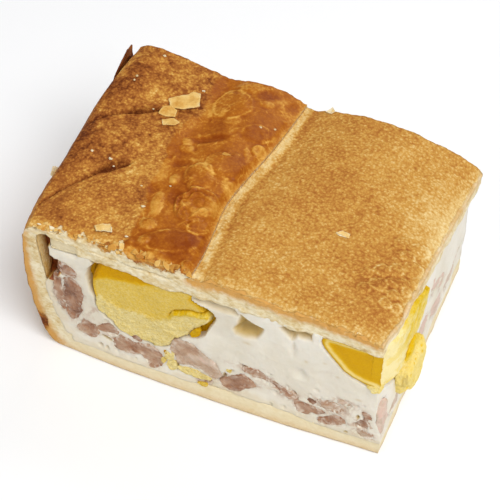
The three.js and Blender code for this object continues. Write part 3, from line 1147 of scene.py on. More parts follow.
    def _slash(self, x: Array, y: Array) -> tuple[Array, Array]:
        """Works out the knife slashes.

        Args:
            x: Plan places along the front.
            y: Plan places front to back.

        Returns:
            Height change, and how scorched the pastry is.
        """
        height, scorched = np.zeros(len(x)), np.zeros(len(x))
        plan = rows(x, y, x * 0)
        ragged = 0.35 * self.grain(plan + 70, 2.2)
        for slash in self.slashes:
            away, along, side = slash.measure(x, y)
            width = slash.gape(along)
            reach = np.maximum(away + ragged, 0)
            open_share = np.clip(width / 0.9, 0, 1)
            height -= self.slash_depth * (0.35 + 0.65 * open_share) * bell(reach, width + 0.15, 4)
            height -= self.slash_sink * bell(away, 5.0)
            height += 0.55 * open_share * bell(side + 2.2 * width, 1.4) * (away < 6)
            scorched += (0.22 + 0.14 * open_share) * bell(reach, 0.9 * width + 0.25, 4)
            scorched += 0.06 * open_share * bell(away, 3.0)
        return height, scorched

    def _glaze(self, x: Array, y: Array) -> tuple[Array, Array, Array]:
        """Works out the glazed edge and its blisters.

        Args:
            x: Plan places along the front.
            y: Plan places front to back.

        Returns:
            Height change, browning change with painted highlights on blister rims and along the step edge,
            and how glazed the pastry is.
        """
        plan = rows(x, y, x * 0)
        edge = self.glaze_edge(y) + 1.3 * self.grain(plan, 3.0)
        wash = ease(-0.5, 0.5, x - edge)
        height = 0.1 * self.grain(plan, 3.6)
        brown = 0.2 * self.grain(plan + 40, 8.0) + 0.07 * self.grain(plan + 90, 2.0)
        brown += 0.1 * ease(-0.05, 0.07, self.grain(plan + 110, 7.0)) - 0.05
        wobble = 0.16 * self.grain(plan + 20, 3.0)
        wrinkle = self.grain(plan + 60, 3.0, 2)
        for mark in self.marks + self._freckles():
            lift, shade = mark.press(mark.reach(x, y) + wobble, wrinkle)
            height += lift
            brown += shade
        # Paler towards the step: partly the edge's own paler colour, partly a painted highlight on the
        # rounded lip, with a painted highlight line along the last 0.7 mm of the lit edge.
        lip = ease(2.2, 0.4, SHAPE.step(y) - x)
        brown = brown * (1 - 0.6 * lip) - 0.1 * lip - 0.1 * ease(0.7, 0.2, SHAPE.step(y) - x)
        return height * wash * (1 - 0.8 * lip), brown * wash, wash

    def _freckles(self) -> tuple[Mark, ...]:
        """Scatters small pale and dark marks over the glaze."""
        rng = np.random.default_rng(self.seed)
        found = []
        for _ in range(self.freckles):
            x, y = rng.uniform(-25, -2), rng.uniform(-35, 36)
            long = rng.uniform(0.4, 1.5)
            pale = rng.uniform() < 0.5
            kind = PALE if pale else SUNK
            high, brown = (0.3, -rng.uniform(0.06, 0.2)) if pale else (-0.2, rng.uniform(0.06, 0.16))
            wide = long * rng.uniform(0.3, 0.8)
            found.append(Mark(x, y, long, wide, high, rng.uniform(0, 180), brown, kind))
        return tuple(found)

    def top(self, x: Array, y: Array) -> Array:
        """Height of the flap's skin over plan points, for what lies on it."""
        inner, t = x.copy(), SHAPE.share(y)
        for _ in range(4):
            inner = x + SHAPE.bulge(t) * ease(25, 48, -inner)
        smooth = SHAPE.flap_top(inner) + SHAPE.rise(inner) * ease(0, 1, t)
        return smooth + self._slash(x, y)[0] + self._glaze(x, y)[0]

    def build(self, finish: bpy.types.Material) -> bpy.types.Object:
        """Builds and dresses the case.

        Args:
            finish: The crust's material.

        Returns:
            The piece.
        """
        count = self.base_faces + self.wall_faces + self.flap_faces
        mesh, shares = slab("pastry_case_baked", count, self.depth_faces, self.rim_rows)
        w = shares[:, 2]
        x, y, z, index = self._section(shares)
        points = SHAPE.warp(x, y, z)
        px, py = points[:, 0].copy(), points[:, 1].copy()
        plan = rows(px, py, px * 0)
        top = ease(40, 46.0, z) * w * ease(0, 1, index - self.base_faces - self.wall_faces * 0.7)
        slash, scorched = self._slash(px, py)
        bubbles, brown, wash = self._glaze(px, py)
        uneven = 0.4 * self.grain(points, 7.0) + 0.12 * self.grain(points, 1.5, 2)
        points[:, 2] += top * (slash + bubbles + uneven * (1 - 0.5 * wash))
        side = ease(6, 20, z) * ease(46, 40, z) * ease(38, 46, -x) * w
        points[:, 0] += side * (0.5 * self.grain(points, 8.0) + 0.15 * self.grain(points, 2.0, 2))
        inward = py - SHAPE.front
        corner = ease(26, 30, z) * ease(46, 44, z) * ease(-43.5, -45, x)
        points[:, 0] += 0.7 * (1 - w) * corner * ease(0.2, 4.4, inward) * ease(9, 6, inward)
        torn = 2.6 * self.grain(plan + 15, 2.6) + 1.2 * self.grain(plan + 50, 0.9, 2)
        bare = ease(0.5, -0.4, inward - 1.3 + 0.9 * wash + torn) * top
        points[:, 2] -= 0.5 * bare
        self._crag(points, inward, top, wash)
        cut = self._cut(points, shares, index, inward)
        burnt = bell(np.hypot(inward, (z - 8) * 0.8), 2.6) * ease(-46.6, -47.8, x)
        cut = cut * (1 - burnt)
        bake = self._browning(points, z, scorched, brown, wash, top, inward)
        fringe = ease(-31, -26, px) * ease(-5.0, -8.0, px) * ease(3.0, 1.0, inward) * w
        ragged = self.grain(points * np.array([1, 0, 0.6]) + 31, 2.4)
        fringe *= ease(-0.15, 0.15, z - SHAPE.flap_top(x) + 2.2 + 3.4 * ragged)
        bake = blend(bake, 0.42 + 0.6 * self.grain(points + 44, 1.5), fringe)
        cut, bare = cut * (1 - fringe), bare * (1 - fringe)
        set_points(mesh, points)
        along_base = ease(self.base_faces + 6, self.base_faces - 2, index)
        lapped = ease(-4, 8, index - self.base_faces - self.wall_faces)
        set_values(
            mesh,
            bake=bake,
            cut=np.maximum(cut, bare),
            wash=wash * top,
            rind=ease(0.42, 1.0, w) * (1 - 0.8 * along_base) * (1 - 0.7 * lapped) * (1 - bare) * 1.9,
            dough=along_base,
        )
        return show("pastry_case_baked", mesh, finish, "pastry_case", "pastry_case")

    def _crag(self, points: Array, inward: Array, top: Array, wash: Array) -> None:
        """Breaks the skin into crumbs and flakes where the knife went through it."""
        near = ease(3.0, 0.2, inward)
        nearest, second, value = self.grain.cells(points * np.array([0.7, 1, 0.3]), 1.7)
        points[:, 2] -= (0.1 + 1.0 * value) * near * top
        points[:, 2] += 0.3 * ease(0.3, 0.02, second - nearest) * near * top * wash

    def _cut(self, points: Array, shares: Array, index: Array, inward: Array) -> Array:
        """Roughens the cut ends into crumbs and says where the sheet is cut or unbaked.

        Args:
            points: Points of the sheet, changed in place.
            shares: Shares along, across and through the sheet.
            index: Index along the sheet.
            inward: Distances from the front cut.

        Returns:
            1 where the pastry is cut open or faces the filling, 0 on baked skin.
        """
        u, v, w = shares.T
        nearest = self.grain.cells(points * np.array([0.6, 0.4, 1.4]), 1.3)[0]
        firm = ease(self.base_faces + 4, self.base_faces + 14, index)
        crumbly = (0.5 * nearest - 0.25) * (0.3 + 0.7 * firm)
        crumbly = crumbly + (0.15 + 0.3 * firm) * self.grain(points, 3.4)
        (at_right, at_edge), (at_front, at_back) = ends(u), ends(v)
        inner_side, outer_side = ends(w)
        points[:, 1] += np.where(at_front, crumbly + 0.15, 0.0) - np.where(at_back, crumbly + 0.15, 0.0)
        points[:, 0] -= np.where(at_right, crumbly, 0.0)
        opened = at_front | at_back | at_right
        inner = blend(0.75, 0.05, ease(0.0, 1.8, inward)) * np.ones(len(u))
        inner = np.where(index > self.base_faces + self.wall_faces, 0.9, inner)
        skin = np.where(opened & outer_side, blend(0.85, 0.4, firm), 1.0)
        # The flap's end face at the step is half paled: partly its pale cut layers, partly painted light over
        # the shade under the step.
        edge = np.where(at_edge, 0.5, 0.0)
        return np.where(opened, 1.0, np.maximum(edge, np.where(inner_side, inner, 0.0))) * skin

    def _browning(
        self, points: Array, z: Array, scorched: Array, brown: Array, wash: Array, top: Array, inward: Array
    ) -> Array:
        """Works out how brown the baked skin is, with painted light and shade on the wall's inner face in the
        slot.

        Args:
            points: Points of the sheet.
            z: Heights before the warp.
            scorched: Extra browning round the slashes.
            brown: Browning change of the glaze.
            wash: How glazed the pastry is.
            top: 1 on the flap's top.
            inward: Distances from the front cut.

        Returns:
            Browning from 0, pale, to 1, burnt.
        """
        x, y = points[:, 0], points[:, 1]
        shoulder = ease(-43, -50, x) * blend(0.07, -0.05, ease(0, 15, y))
        flap = 0.64 + shoulder + 0.06 * ease(0, 22, y) + scorched + 0.1 * self.grain(points, 10.0)
        patchy = 0.11 * self.grain(points + 60, 4.0) + 0.18 * self.grain(points + 80, 1.3, 2)
        flap = flap + blend(0.5, 1.3, ease(-28, 10, y)) * patchy
        flap = flap + lumps(x, y, self.scorches) - 0.2 * ease(5.0, 0.5, inward) - 0.06 * ease(-10, -26, y)
        flap = blend(flap, 0.53 + brown + 0.14 * ease(-14, -28, y), wash)
        flap = flap - 0.16 * wash * ease(3.0, 0.5, inward)
        wall = 0.46 + 0.16 * ease(20, 44, z) - 0.14 * ease(16, 4, z)
        spot = bell(np.hypot(inward, z - 8), 3.6) * ease(-45, -47.5, x)
        wall = wall + 0.6 * spot + 0.08 * self.grain(points, 6.0)
        under = 0.2 + 0.05 * self.grain(points, 10.0)
        skin = blend(blend(under, wall, ease(1, 8, z)), flap, ease(0, 1, top))
        # On the wall's inner face in the slot beside the white: paler near the front cut as painted light
        # against the slot's shade, browner deeper in as painted shade.
        void_wall_light_and_shade = ease(-44.0, -46.5, x) * ease(24, 30, z) * (1 - top) * ease(-49.5, -48.0, x)
        return np.clip(blend(skin, blend(0.05, 0.4, ease(2.0, 8.0, inward)), void_wall_light_and_shade), 0, 1)


@dataclass
class PastryLid:
    """The flat sheet over the filling: tucked under the flap, and cut on three sides."""

    tucked_faces: int = 70
    open_faces: int = 160
    depth_faces: int = 160
    rim_rows: int = 14
    tuck: float = -6.0
    spots: Spots = (
        (42.0, -5.5, 4.0, 3.5, 0.09),
        (38.0, -20.5, 3.6, 3.0, 0.09),
        (42.5, -15.5, 4.5, 5.0, 0.05),
        (34.0, -13.0, 5.0, 6.0, 0.05),
        (47.0, -8.0, 2.5, 4.0, 0.05),
        (43.0, -28.0, 5.0, 3.0, 0.05),
        (2.5, 31.0, 3.0, 8.0, 0.1),
        (20.0, 34.0, 14.0, 4.0, 0.05),
        (46.0, 12.0, 8.0, 15.0, -0.2),
        (30.0, 22.0, 8.0, 8.0, -0.05),
        (12.0, -26.0, 9.0, 7.0, -0.02),
        (20.0, 8.0, 12.0, 9.0, 0.03),
    )
    bubbles: tuple[Mark, ...] = (
        Mark(39.8, -13.0, 1.9, 1.7, 0.8, 0, 0.05),
        Mark(43.1, -11.2, 1.9, 1.8, 0.8, 0, 0.03),
        Mark(46.9, -8.1, 2.2, 2.4, 0.8, 20, -0.02),
        Mark(40.8, -17.8, 2.4, 2.0, 0.9, 0, 0.06),
        Mark(45.1, -19.0, 1.5, 1.4, 0.7, 0, 0.02),
        Mark(46.0, -14.3, 1.3, 1.5, 0.7),
        Mark(47.6, -16.4, 1.2, 1.4, 0.7),
        Mark(43.5, -15.8, 1.4, 1.4, 0.7, 0, 0.02),
        Mark(37.8, -20.6, 1.6, 1.6, 0.7, 0, 0.06),
        Mark(46.3, -1.7, 2.4, 2.2, 0.6, 0, -0.03),
        Mark(44.2, -5.2, 1.9, 1.5, 0.6),
        Mark(41.3, -1.9, 1.6, 1.8, 0.5),
        Mark(44.2, -22.6, 1.4, 1.5, 0.6),
        Mark(47.2, -22.8, 1.2, 1.4, 0.5),
        Mark(36.6, -15.5, 1.4, 1.4, 0.5),
        Mark(48.8, -11.6, 1.1, 1.8, 0.6),
    )
    grain: Grain = Grain(23)

    def _bubbles(self, x: Array, y: Array) -> tuple[Array, Array]:
        """Works out the patch of small bubbles.

        Args:
            x: Plan places along the front.
            y: Plan places front to back.

        Returns:
            Height change, and browning change with painted highlights round the bubbles' rims.
        """
        plan = rows(x, y, x * 0)
        wobble, wrinkle = 0.2 * self.grain(plan, 1.8), self.grain(plan, 2.4)
        height, brown = np.zeros(len(x)), np.zeros(len(x))
        for bubble in self.bubbles:
            lift, shade = bubble.press(bubble.reach(x, y) + wobble, wrinkle)
            height += lift
            # The bubbles' rims come out lighter: painted highlights.
            brown += 0.65 * shade
        return height, brown

    def build(self, finish: bpy.types.Material) -> bpy.types.Object:
        """Builds and dresses the lid.

        Args:
            finish: The crust's material.

        Returns:
            The piece.
        """
        count = self.tucked_faces + self.open_faces
        mesh, shares = slab("pastry_lid_baked", count, self.depth_faces, self.rim_rows)
        u, v, w = shares.T
        knots = [0, self.tucked_faces, 0.44 * count, 0.68 * count, count]
        x = np.interp(u * count, knots, [SHAPE.lid_left, self.tuck, 4, 33, SHAPE.right])
        y = np.interp(v, [0, 0.12, 0.6, 1], [SHAPE.front, -27, 1, SHAPE.back + SHAPE.back_overhang])
        x = x - 3.6 * np.clip(1 - u * count / self.tucked_faces, 0, 1) * ease(3, 7, y - SHAPE.front)
        raised = 0.5 * ease(0.7, -0.3, x - SHAPE.step(y))
        points = SHAPE.warp(x, y, blend(SHAPE.lid_low(x), SHAPE.lid_top(x) + raised, w))
        points[:, 0] += SHAPE.lid_overhang * SHAPE.share(y) ** 2 * ease(20, 50, x)
        points[:, 0] -= 1.6 * ease(11, 0, y - SHAPE.front) * ease(38, 50, x)
        bubbles, patch = self._bubbles(points[:, 0], y)
        shown = ease(0, 4, x - SHAPE.step(y))
        relief = 0.35 * self.grain(points, 11.0) + 0.12 * self.grain(points, 1.4, 2) + bubbles
        points[:, 2] += w * shown * relief
        beside = x - SHAPE.step(y)
        ridge = 0.1 * bell(beside - 1.2, 0.8) - 0.3 * bell(beside - 3.0, 1.2)
        points[:, 2] += w * ridge * (0.8 + self.grain(points, 5.0))
        inward = y - SHAPE.front
        near = ease(2.6, 0.2, inward) * w * shown
        points[:, 2] -= 0.55 * near * self.grain.cells(points * np.array([1, 1, 0.3]), 1.3)[2]
        points[:, 2] += (1 - w) * 0.45 * self.grain(points + 30, 5.0) * ease(-44, -38, x)
        nearest = self.grain.cells(points * np.array([1, 0.4, 1]), 1.3)[0]
        crumbly = (0.34 * nearest - 0.14 + 0.3 * self.grain(points, 3.6)) * (1 - 0.7 * ease(-34, -36, x))
        tucked_in = 0.8 * ease(-34.8, -35.5, x)
        tucked_in = tucked_in + 1.1 * ease(0.72, 0.95, w) * ease(-22, -18, x) * ease(-7, -10, x)
        (at_left, at_right), (at_front, at_back), (at_low, at_top) = ends(u), ends(v), ends(w)
        points[:, 1] += np.where(at_front, crumbly + tucked_in, 0.0) - np.where(at_back, crumbly + 0.1, 0.0)
        points[:, 0] -= np.where(at_right, crumbly + 0.1, 0.0)
        opened = at_front | at_back | at_right | at_left
        plan = rows(x, y, x * 0)
        worn = 0.9 * self.grain(plan, 2.2)
        bare = np.maximum(ease(1.2, 0.2, inward + worn), 0.8 * ease(48.6, 49.6, x + 0.6 * worn)) * w
        cut = np.where(opened, 1.0, np.where(at_low, 0.95, bare)) * np.where(opened & at_top, 0.5, 1.0)
        cut = np.maximum(cut, 1 - ease(-3.0, -1.0, x - SHAPE.step(y)))
        set_points(mesh, points)
        rind = ease(0.42, 1.0, w) * blend(1.65, 0.5, ease(48, 49.5, x)) * ease(-3.0, 0.0, beside)
        set_values(
            mesh,
            bake=self._browning(points, x, y, patch),
            cut=cut,
            wash=np.zeros(len(x)),
            # Extra toast tint on the tucked end's top edge: a painted shadow line under the flap.
            rind=rind + ease(0.72, 1.0, w) * ease(-35, -36, x),
            dough=ease(-34.0, -36.0, x),
        )
        return show("pastry_lid_baked", mesh, finish, "pastry_lid", "pastry_lid")

    def _browning(self, points: Array, x: Array, y: Array, patch: Array) -> Array:
        """Works out how brown the lid's top is.

        Args:
            points: Points of the sheet.
            x: Places along the front before the warp.
            y: Places front to back.
            patch: Browning change of the bubbles.

        Returns:
            Browning from 0, pale, to 1, burnt.
        """
        beside = x - SHAPE.step(y)
        pressed = 0.23 * bell(beside - 0.9, 1.3) * (1 + self.grain(points, 2.0))
        # The dip at 3.4 mm darkens the groove beside the step: painted shade.
        pressed = pressed - 0.07 * bell(beside - 3.4, 1.2) + 0.03 * ease(8, 4, beside)
        bake = 0.485 + patch - pressed - 0.12 * ease(46, 49, x) - 0.3 * ease(48.7, 49.9, x)
        bake = bake + lumps(points[:, 0], y, self.spots) - 0.14 * ease(4.0, 0.5, y - SHAPE.front)
        bake = bake + 0.05 * self.grain(points, 16.0)
        return np.clip(bake, 0, 1)


class Face(Enum):
    """A cut face of the slice."""

    FRONT = "front"
    BACK = "back"
    RIGHT = "right"


def front_face(x: Array, z: Array) -> Array:
    """Place of the front cut, which leans out a little at its foot."""
    return SHAPE.front - SHAPE.foot_out * ease(12, 1, z) * ease(50, 15, np.abs(x))


@dataclass(frozen=True)
class Chunk:
    """A chopped bacon piece at a cut: its outline there, how lean it is, how filmed, and its grain's turn."""

    face: Face
    outline: Outline
    lean: float
    film: float = 0.3
    turn: float = 0.0

    def join(self, a: Array, b: Array, depth: Array) -> Array:
        """Gives points from two coordinates in the face and a depth behind it."""
        if self.face is Face.FRONT:
            return rows(a, front_face(a, b) + depth, b)
        if self.face is Face.BACK:
            return rows(a, SHAPE.back - depth, b)
        return rows(SHAPE.right - depth, a, b)


@dataclass
class BaconBed:
    """Chopped bacon on the bottom crust, cut open at every cut."""

    deep: float = 9.0
    seed: int = 41
    grain: Grain = Grain(37)
    chunks: list[Chunk] = field(default_factory=list)
    large: tuple[int, ...] = (0, 5, 6, 8)
    front_rows: tuple[tuple[float, float, float, Pairs], ...] = (
        (0.2, 0.25, 95, (
            (-39.8, 30.2), (-38, 30.5), (-36.1, 30.1), (-35.5, 28), (-35.6, 26.5), (-35, 24.5),
            (-36.3, 20.5), (-36, 18.5), (-36.5, 16.5), (-37.5, 14.8), (-39.4, 14), (-40.2, 16),
            (-39.9, 20), (-40.3, 25),
        )),
        (0.32, 0.5, 40, ((-40.6, 35.3), (-38.5, 35.9), (-37, 34.6), (-36.1, 32.6), (-36.7, 31.3),
            (-38.5, 31), (-40.3, 31.4), (-41.2, 33.2))),
        (0.34, 0.35, 85, ((-41.1, 29.7), (-42.4, 29.6), (-43, 26), (-43.5, 22), (-42.6, 18.8),
            (-41.2, 17), (-40.8, 20), (-41.2, 25))),
        (0.42, 0.35, 30, (
            (-35.5, 15), (-34, 15.3), (-32.3, 14.6), (-31.7, 13), (-31.7, 11), (-32.3, 9.6),
            (-34, 9), (-36, 9.3), (-37.8, 10.5), (-37.5, 11.5), (-36.3, 12.5),
        )),
        (0.36, 0.3, 15, ((-31, 14.3), (-29.5, 16), (-27.5, 17), (-26, 16.2), (-25, 14.8), (-25.4, 13.6),
            (-28, 13.2), (-31, 13.4))),
        (0.42, 0.35, -12, (
            (-26.5, 10.9), (-25, 12.6), (-24, 13.7), (-22.5, 12.8), (-20, 12.1), (-18, 12.2),
            (-16, 12.8), (-14, 12.3), (-12.5, 11.2), (-12.2, 8.8), (-12.5, 6.6), (-14, 5.6),
            (-15.5, 5.4), (-16.6, 7.6), (-18.5, 8.6), (-22, 8), (-24.5, 7.6), (-26.4, 8),
        )),
        (0.7, 0.3, -35, (
            (-9, 17.5), (-7.2, 20.2), (-5, 20.3), (-3, 19.8), (-1.5, 18), (0.5, 16.4), (3, 15),
            (4.4, 13), (5.3, 11), (5.2, 8.8), (3.2, 8.5), (1.5, 9.6), (-0.5, 10.8), (-4, 11),
            (-7.2, 10.6), (-8, 12.5), (-9.4, 15),
        )),
        (0.32, 0.2, 35, (
            (5.4, 8.6), (6.2, 7.5), (8, 6.9), (9.7, 7), (11, 8), (11.8, 9.3), (13.4, 10.5),
            (14.7, 11.1), (14, 12.3), (13, 13.5), (11.4, 13.8), (9.8, 13.2), (8, 11.9), (6.4, 10.3),
        )),
        (0.45, 0.55, -25, (
            (11.2, 18.5), (13, 18.3), (15.6, 18.1), (18, 17.2), (20, 16.1), (22, 15), (24, 14),
            (26.8, 12.5), (26.9, 11.3), (25, 11.1), (22.5, 12.7), (20.5, 14.2), (18.5, 15.2),
            (16, 15.3), (14.2, 15.2), (12, 16.6),
        )),
        (0.36, 0.35, -8, (
            (25.8, 11), (28, 11.4), (31, 11), (33.5, 10.5), (34.6, 9.9), (33, 8.9), (30.6, 8.4),
            (29.5, 7.2), (27.3, 7.4), (26.6, 9),
        )),
        (0.15, 0.1, 0, ((29.7, 13.1), (30.4, 14.1), (31.5, 13.9), (32, 13), (31.2, 12.1), (30.2, 12.2))),
        (0.58, 0.75, 10, ((32.4, 14.8), (35.5, 15.8), (38, 15.1), (39.6, 13.6), (38, 12.2), (35, 12.1),
            (33, 12.4), (32, 13.5))),
        (0.38, 0.35, 35, ((32.8, 6.7), (34.5, 8), (36, 9.3), (38, 10.2), (39.9, 9.9), (40.3, 8.8),
            (39, 7.7), (37, 6.6), (35, 5.8), (33.2, 5.8))),
        (0.3, 0.3, -20, ((43.4, 10.6), (44.5, 11.8), (45.6, 12.2), (46.9, 12), (47.4, 10.6), (46.8, 9.3),
            (45, 8.9), (44, 9.4))),
        (0.25, 0.2, 60, ((45, 15), (46, 15.6), (46.9, 14.6), (46.9, 13.1), (46.2, 12.9), (45.8, 14))),
        (0.6, 0.7, 0, ((43.6, 7.6), (46, 8.2), (48.4, 7.8), (48.4, 5.8), (46, 5.4), (44, 5.8))),
        (0.6, 0.8, 5, ((38, 17.6), (39.6, 18.4), (41.4, 17.8), (41, 16.6), (39.4, 16.2), (38.2, 16.6))),
        (0.3, 0.2, 0, ((-20.8, 15.4), (-19.4, 15.9), (-18.4, 15.2), (-18.8, 14.2), (-20.4, 14.1))),
        (0.35, 0.4, 10, ((-1.4, 6.6), (1, 7.4), (2.7, 7.6), (2, 6), (0.4, 5.2), (-1.2, 5.6))),
    )
    side_rows: tuple[tuple[float, float, float, float, float, float, float], ...] = (
        (0.98, 0.1, 6.0, 25.0, 4.6, 2.2, -20),
        (0.96, 0.15, 12.5, 19.0, 3.2, 1.7, -25),
        (0.96, 0.1, -2.6, 15.5, 4.2, 4.4, -60),
        (0.97, 0.12, 10.0, 11.0, 6.2, 3.4, -35),
        (0.92, 0.25, 22.0, 10.5, 4.5, 2.4, -10),
        (0.92, 0.2, -33.0, 13.0, 5.4, 1.5, 82),
        (0.8, 0.4, -24.0, 9.5, 4.0, 2.0, 10),
        (0.85, 0.5, 29.0, 14.5, 3.4, 1.8, 15),
    )

    def __post_init__(self) -> None:
        """Lays out the pieces at the three cuts."""
        for lean, film, turn, corners in self.front_rows:
            self.chunks.append(Chunk(Face.FRONT, Outline(corners), lean, film, turn))
        rng = np.random.default_rng(self.seed)
        for lean, film, y, z, long, thick, turn in self.side_rows:
            outline = self._ragged(rng, y, z, long, thick, turn)
            self.chunks.append(Chunk(Face.RIGHT, outline, lean, film, turn))
        for x in np.arange(-37, 46, 5.2):
            high = SHAPE.base_top(x) + 2.2 + 9.0 * rng.uniform() ** 1.6
            long, thick, turn = rng.uniform(2.4, 6.0), rng.uniform(1.4, 3.2), rng.uniform(-50, 50)
            outline = self._ragged(rng, x, high, long, thick, turn)
            self.chunks.append(Chunk(Face.BACK, outline, rng.uniform(0.2, 0.7), rng.uniform(0.2, 0.6), turn))

    @staticmethod
    def _ragged(
        rng: np.random.Generator, a: float, b: float, long: float, thick: float, turn: float
    ) -> Outline:
        """Makes the uneven outline of a chopped piece.

        Args:
            rng: Source of its unevenness.
            a: First coordinate of its middle.
            b: Second coordinate of its middle.
            long: Half its length.
            thick: Half its thickness.
            turn: Turn in degrees.

        Returns:
            The outline.
        """
        corners, lean = [], math.radians(turn)
        for step in range(11):
            angle = step * math.tau / 11
            reach = rng.uniform(0.62, 1.22)
            p, q = long * reach * math.cos(angle), thick * reach * math.sin(angle)
            along, up = p * math.cos(lean) - q * math.sin(lean), p * math.sin(lean) + q * math.cos(lean)
            corners.append((a + along, b + up))
        return Outline(tuple(corners))

    def build(self, finish: bpy.types.Material) -> bpy.types.Object:
        """Builds and dresses the bacon.

        Args:
            finish: The bacon's material.

        Returns:
            The piece.
        """
        parts = []
        for number, chunk in enumerate(self.chunks):
            detail = 6 if number in self.large else 5 if chunk.face is Face.FRONT else 4
            mesh, unit = ball(f"bacon_{number}", detail)
            points, values = self._chunk(chunk, unit)
            set_points(mesh, points)
            parts.append((mesh, values))
        return show("bacon_bed_chopped", joined("bacon_bed_chopped", parts), finish, "bacon", "bacon_bed")

    def _chunk(self, chunk: Chunk, unit: Array) -> tuple[Array, Values]:
        """Shapes one piece.

        Args:
            chunk: Its outline and look.
            unit: Points of a unit ball.

        Returns:
            Its points and its looks.
        """
        middle_a, middle_b, half_a, half_b = chunk.outline.span()
        square = np.sign(unit) * np.abs(unit) ** 0.8
        a = middle_a + (half_a + 0.9) * square[:, 0]
        b = np.maximum(middle_b + (half_b + 0.9) * square[:, 2], 3.0)
        out = chunk.outline.outside(a, b)
        flat = rows(a, a * 0, b)
        ragged = self.grain(flat, 1.7)
        relief = 0.45 * self.grain(flat, 3.4) + 0.12 * self.grain(flat + 11, 0.8, 2)
        face = 0.1 + relief + 2.2 * ease(0.2, 1.9, out + 0.35 * ragged)
        depth = np.maximum(self.deep * unit[:, 1], face)
        angle = math.radians(chunk.turn)
        along = (a - middle_a) * math.cos(angle) + (b - middle_b) * math.sin(angle)
        across = -(a - middle_a) * math.sin(angle) + (b - middle_b) * math.cos(angle)
        fibre = rows(along + 50 * chunk.lean, depth, across) * MILLIMETRE
        lean = chunk.lean + 0.25 * self.grain(flat, 3.0) - 0.5 * np.maximum(relief, 0)
        film = chunk.film * (0.4 + 1.4 * ease(-1.4, 0.0, out))
        return chunk.join(a, b, depth), {"lean": lean, "film": film, "fibre": fibre}


@dataclass
class Yolk:
    """A set yolk, cut open: centre, half sizes and how square it is."""

    x: float
    y: float
    z: float
    wide: float
    deep: float
    tall: float
    square: float = 1.0
    detail: int = 7
    grain: Grain = Grain(53)

    def skin(self, unit: Array) -> Array:
        """Shapes the whole yolk from a unit ball, with its top pressed to the lid."""
        uneven = 1 + 0.02 * self.grain(unit * 4 + self.x, 2.0)
        boxy = np.sign(unit) * np.abs(unit) ** self.square
        points = boxy * uneven[:, None] * np.array([self.wide, self.deep, self.tall])
        points = points + np.array([self.x, self.y, self.z])
        points[:, 2] = np.minimum(points[:, 2], SHAPE.lid_low(points[:, 0]) - 0.1)
        return points

    @staticmethod
    def look(pale: Array, crumbly: Array, bright: Array) -> Values:
        """Sets how pale, crumbly and bright points are, each from 0 to 1."""
        looks = {"pale": pale, "crumbly": crumbly, "bright": bright}
        return {name: np.clip(value, 0, 1) for name, value in looks.items()}


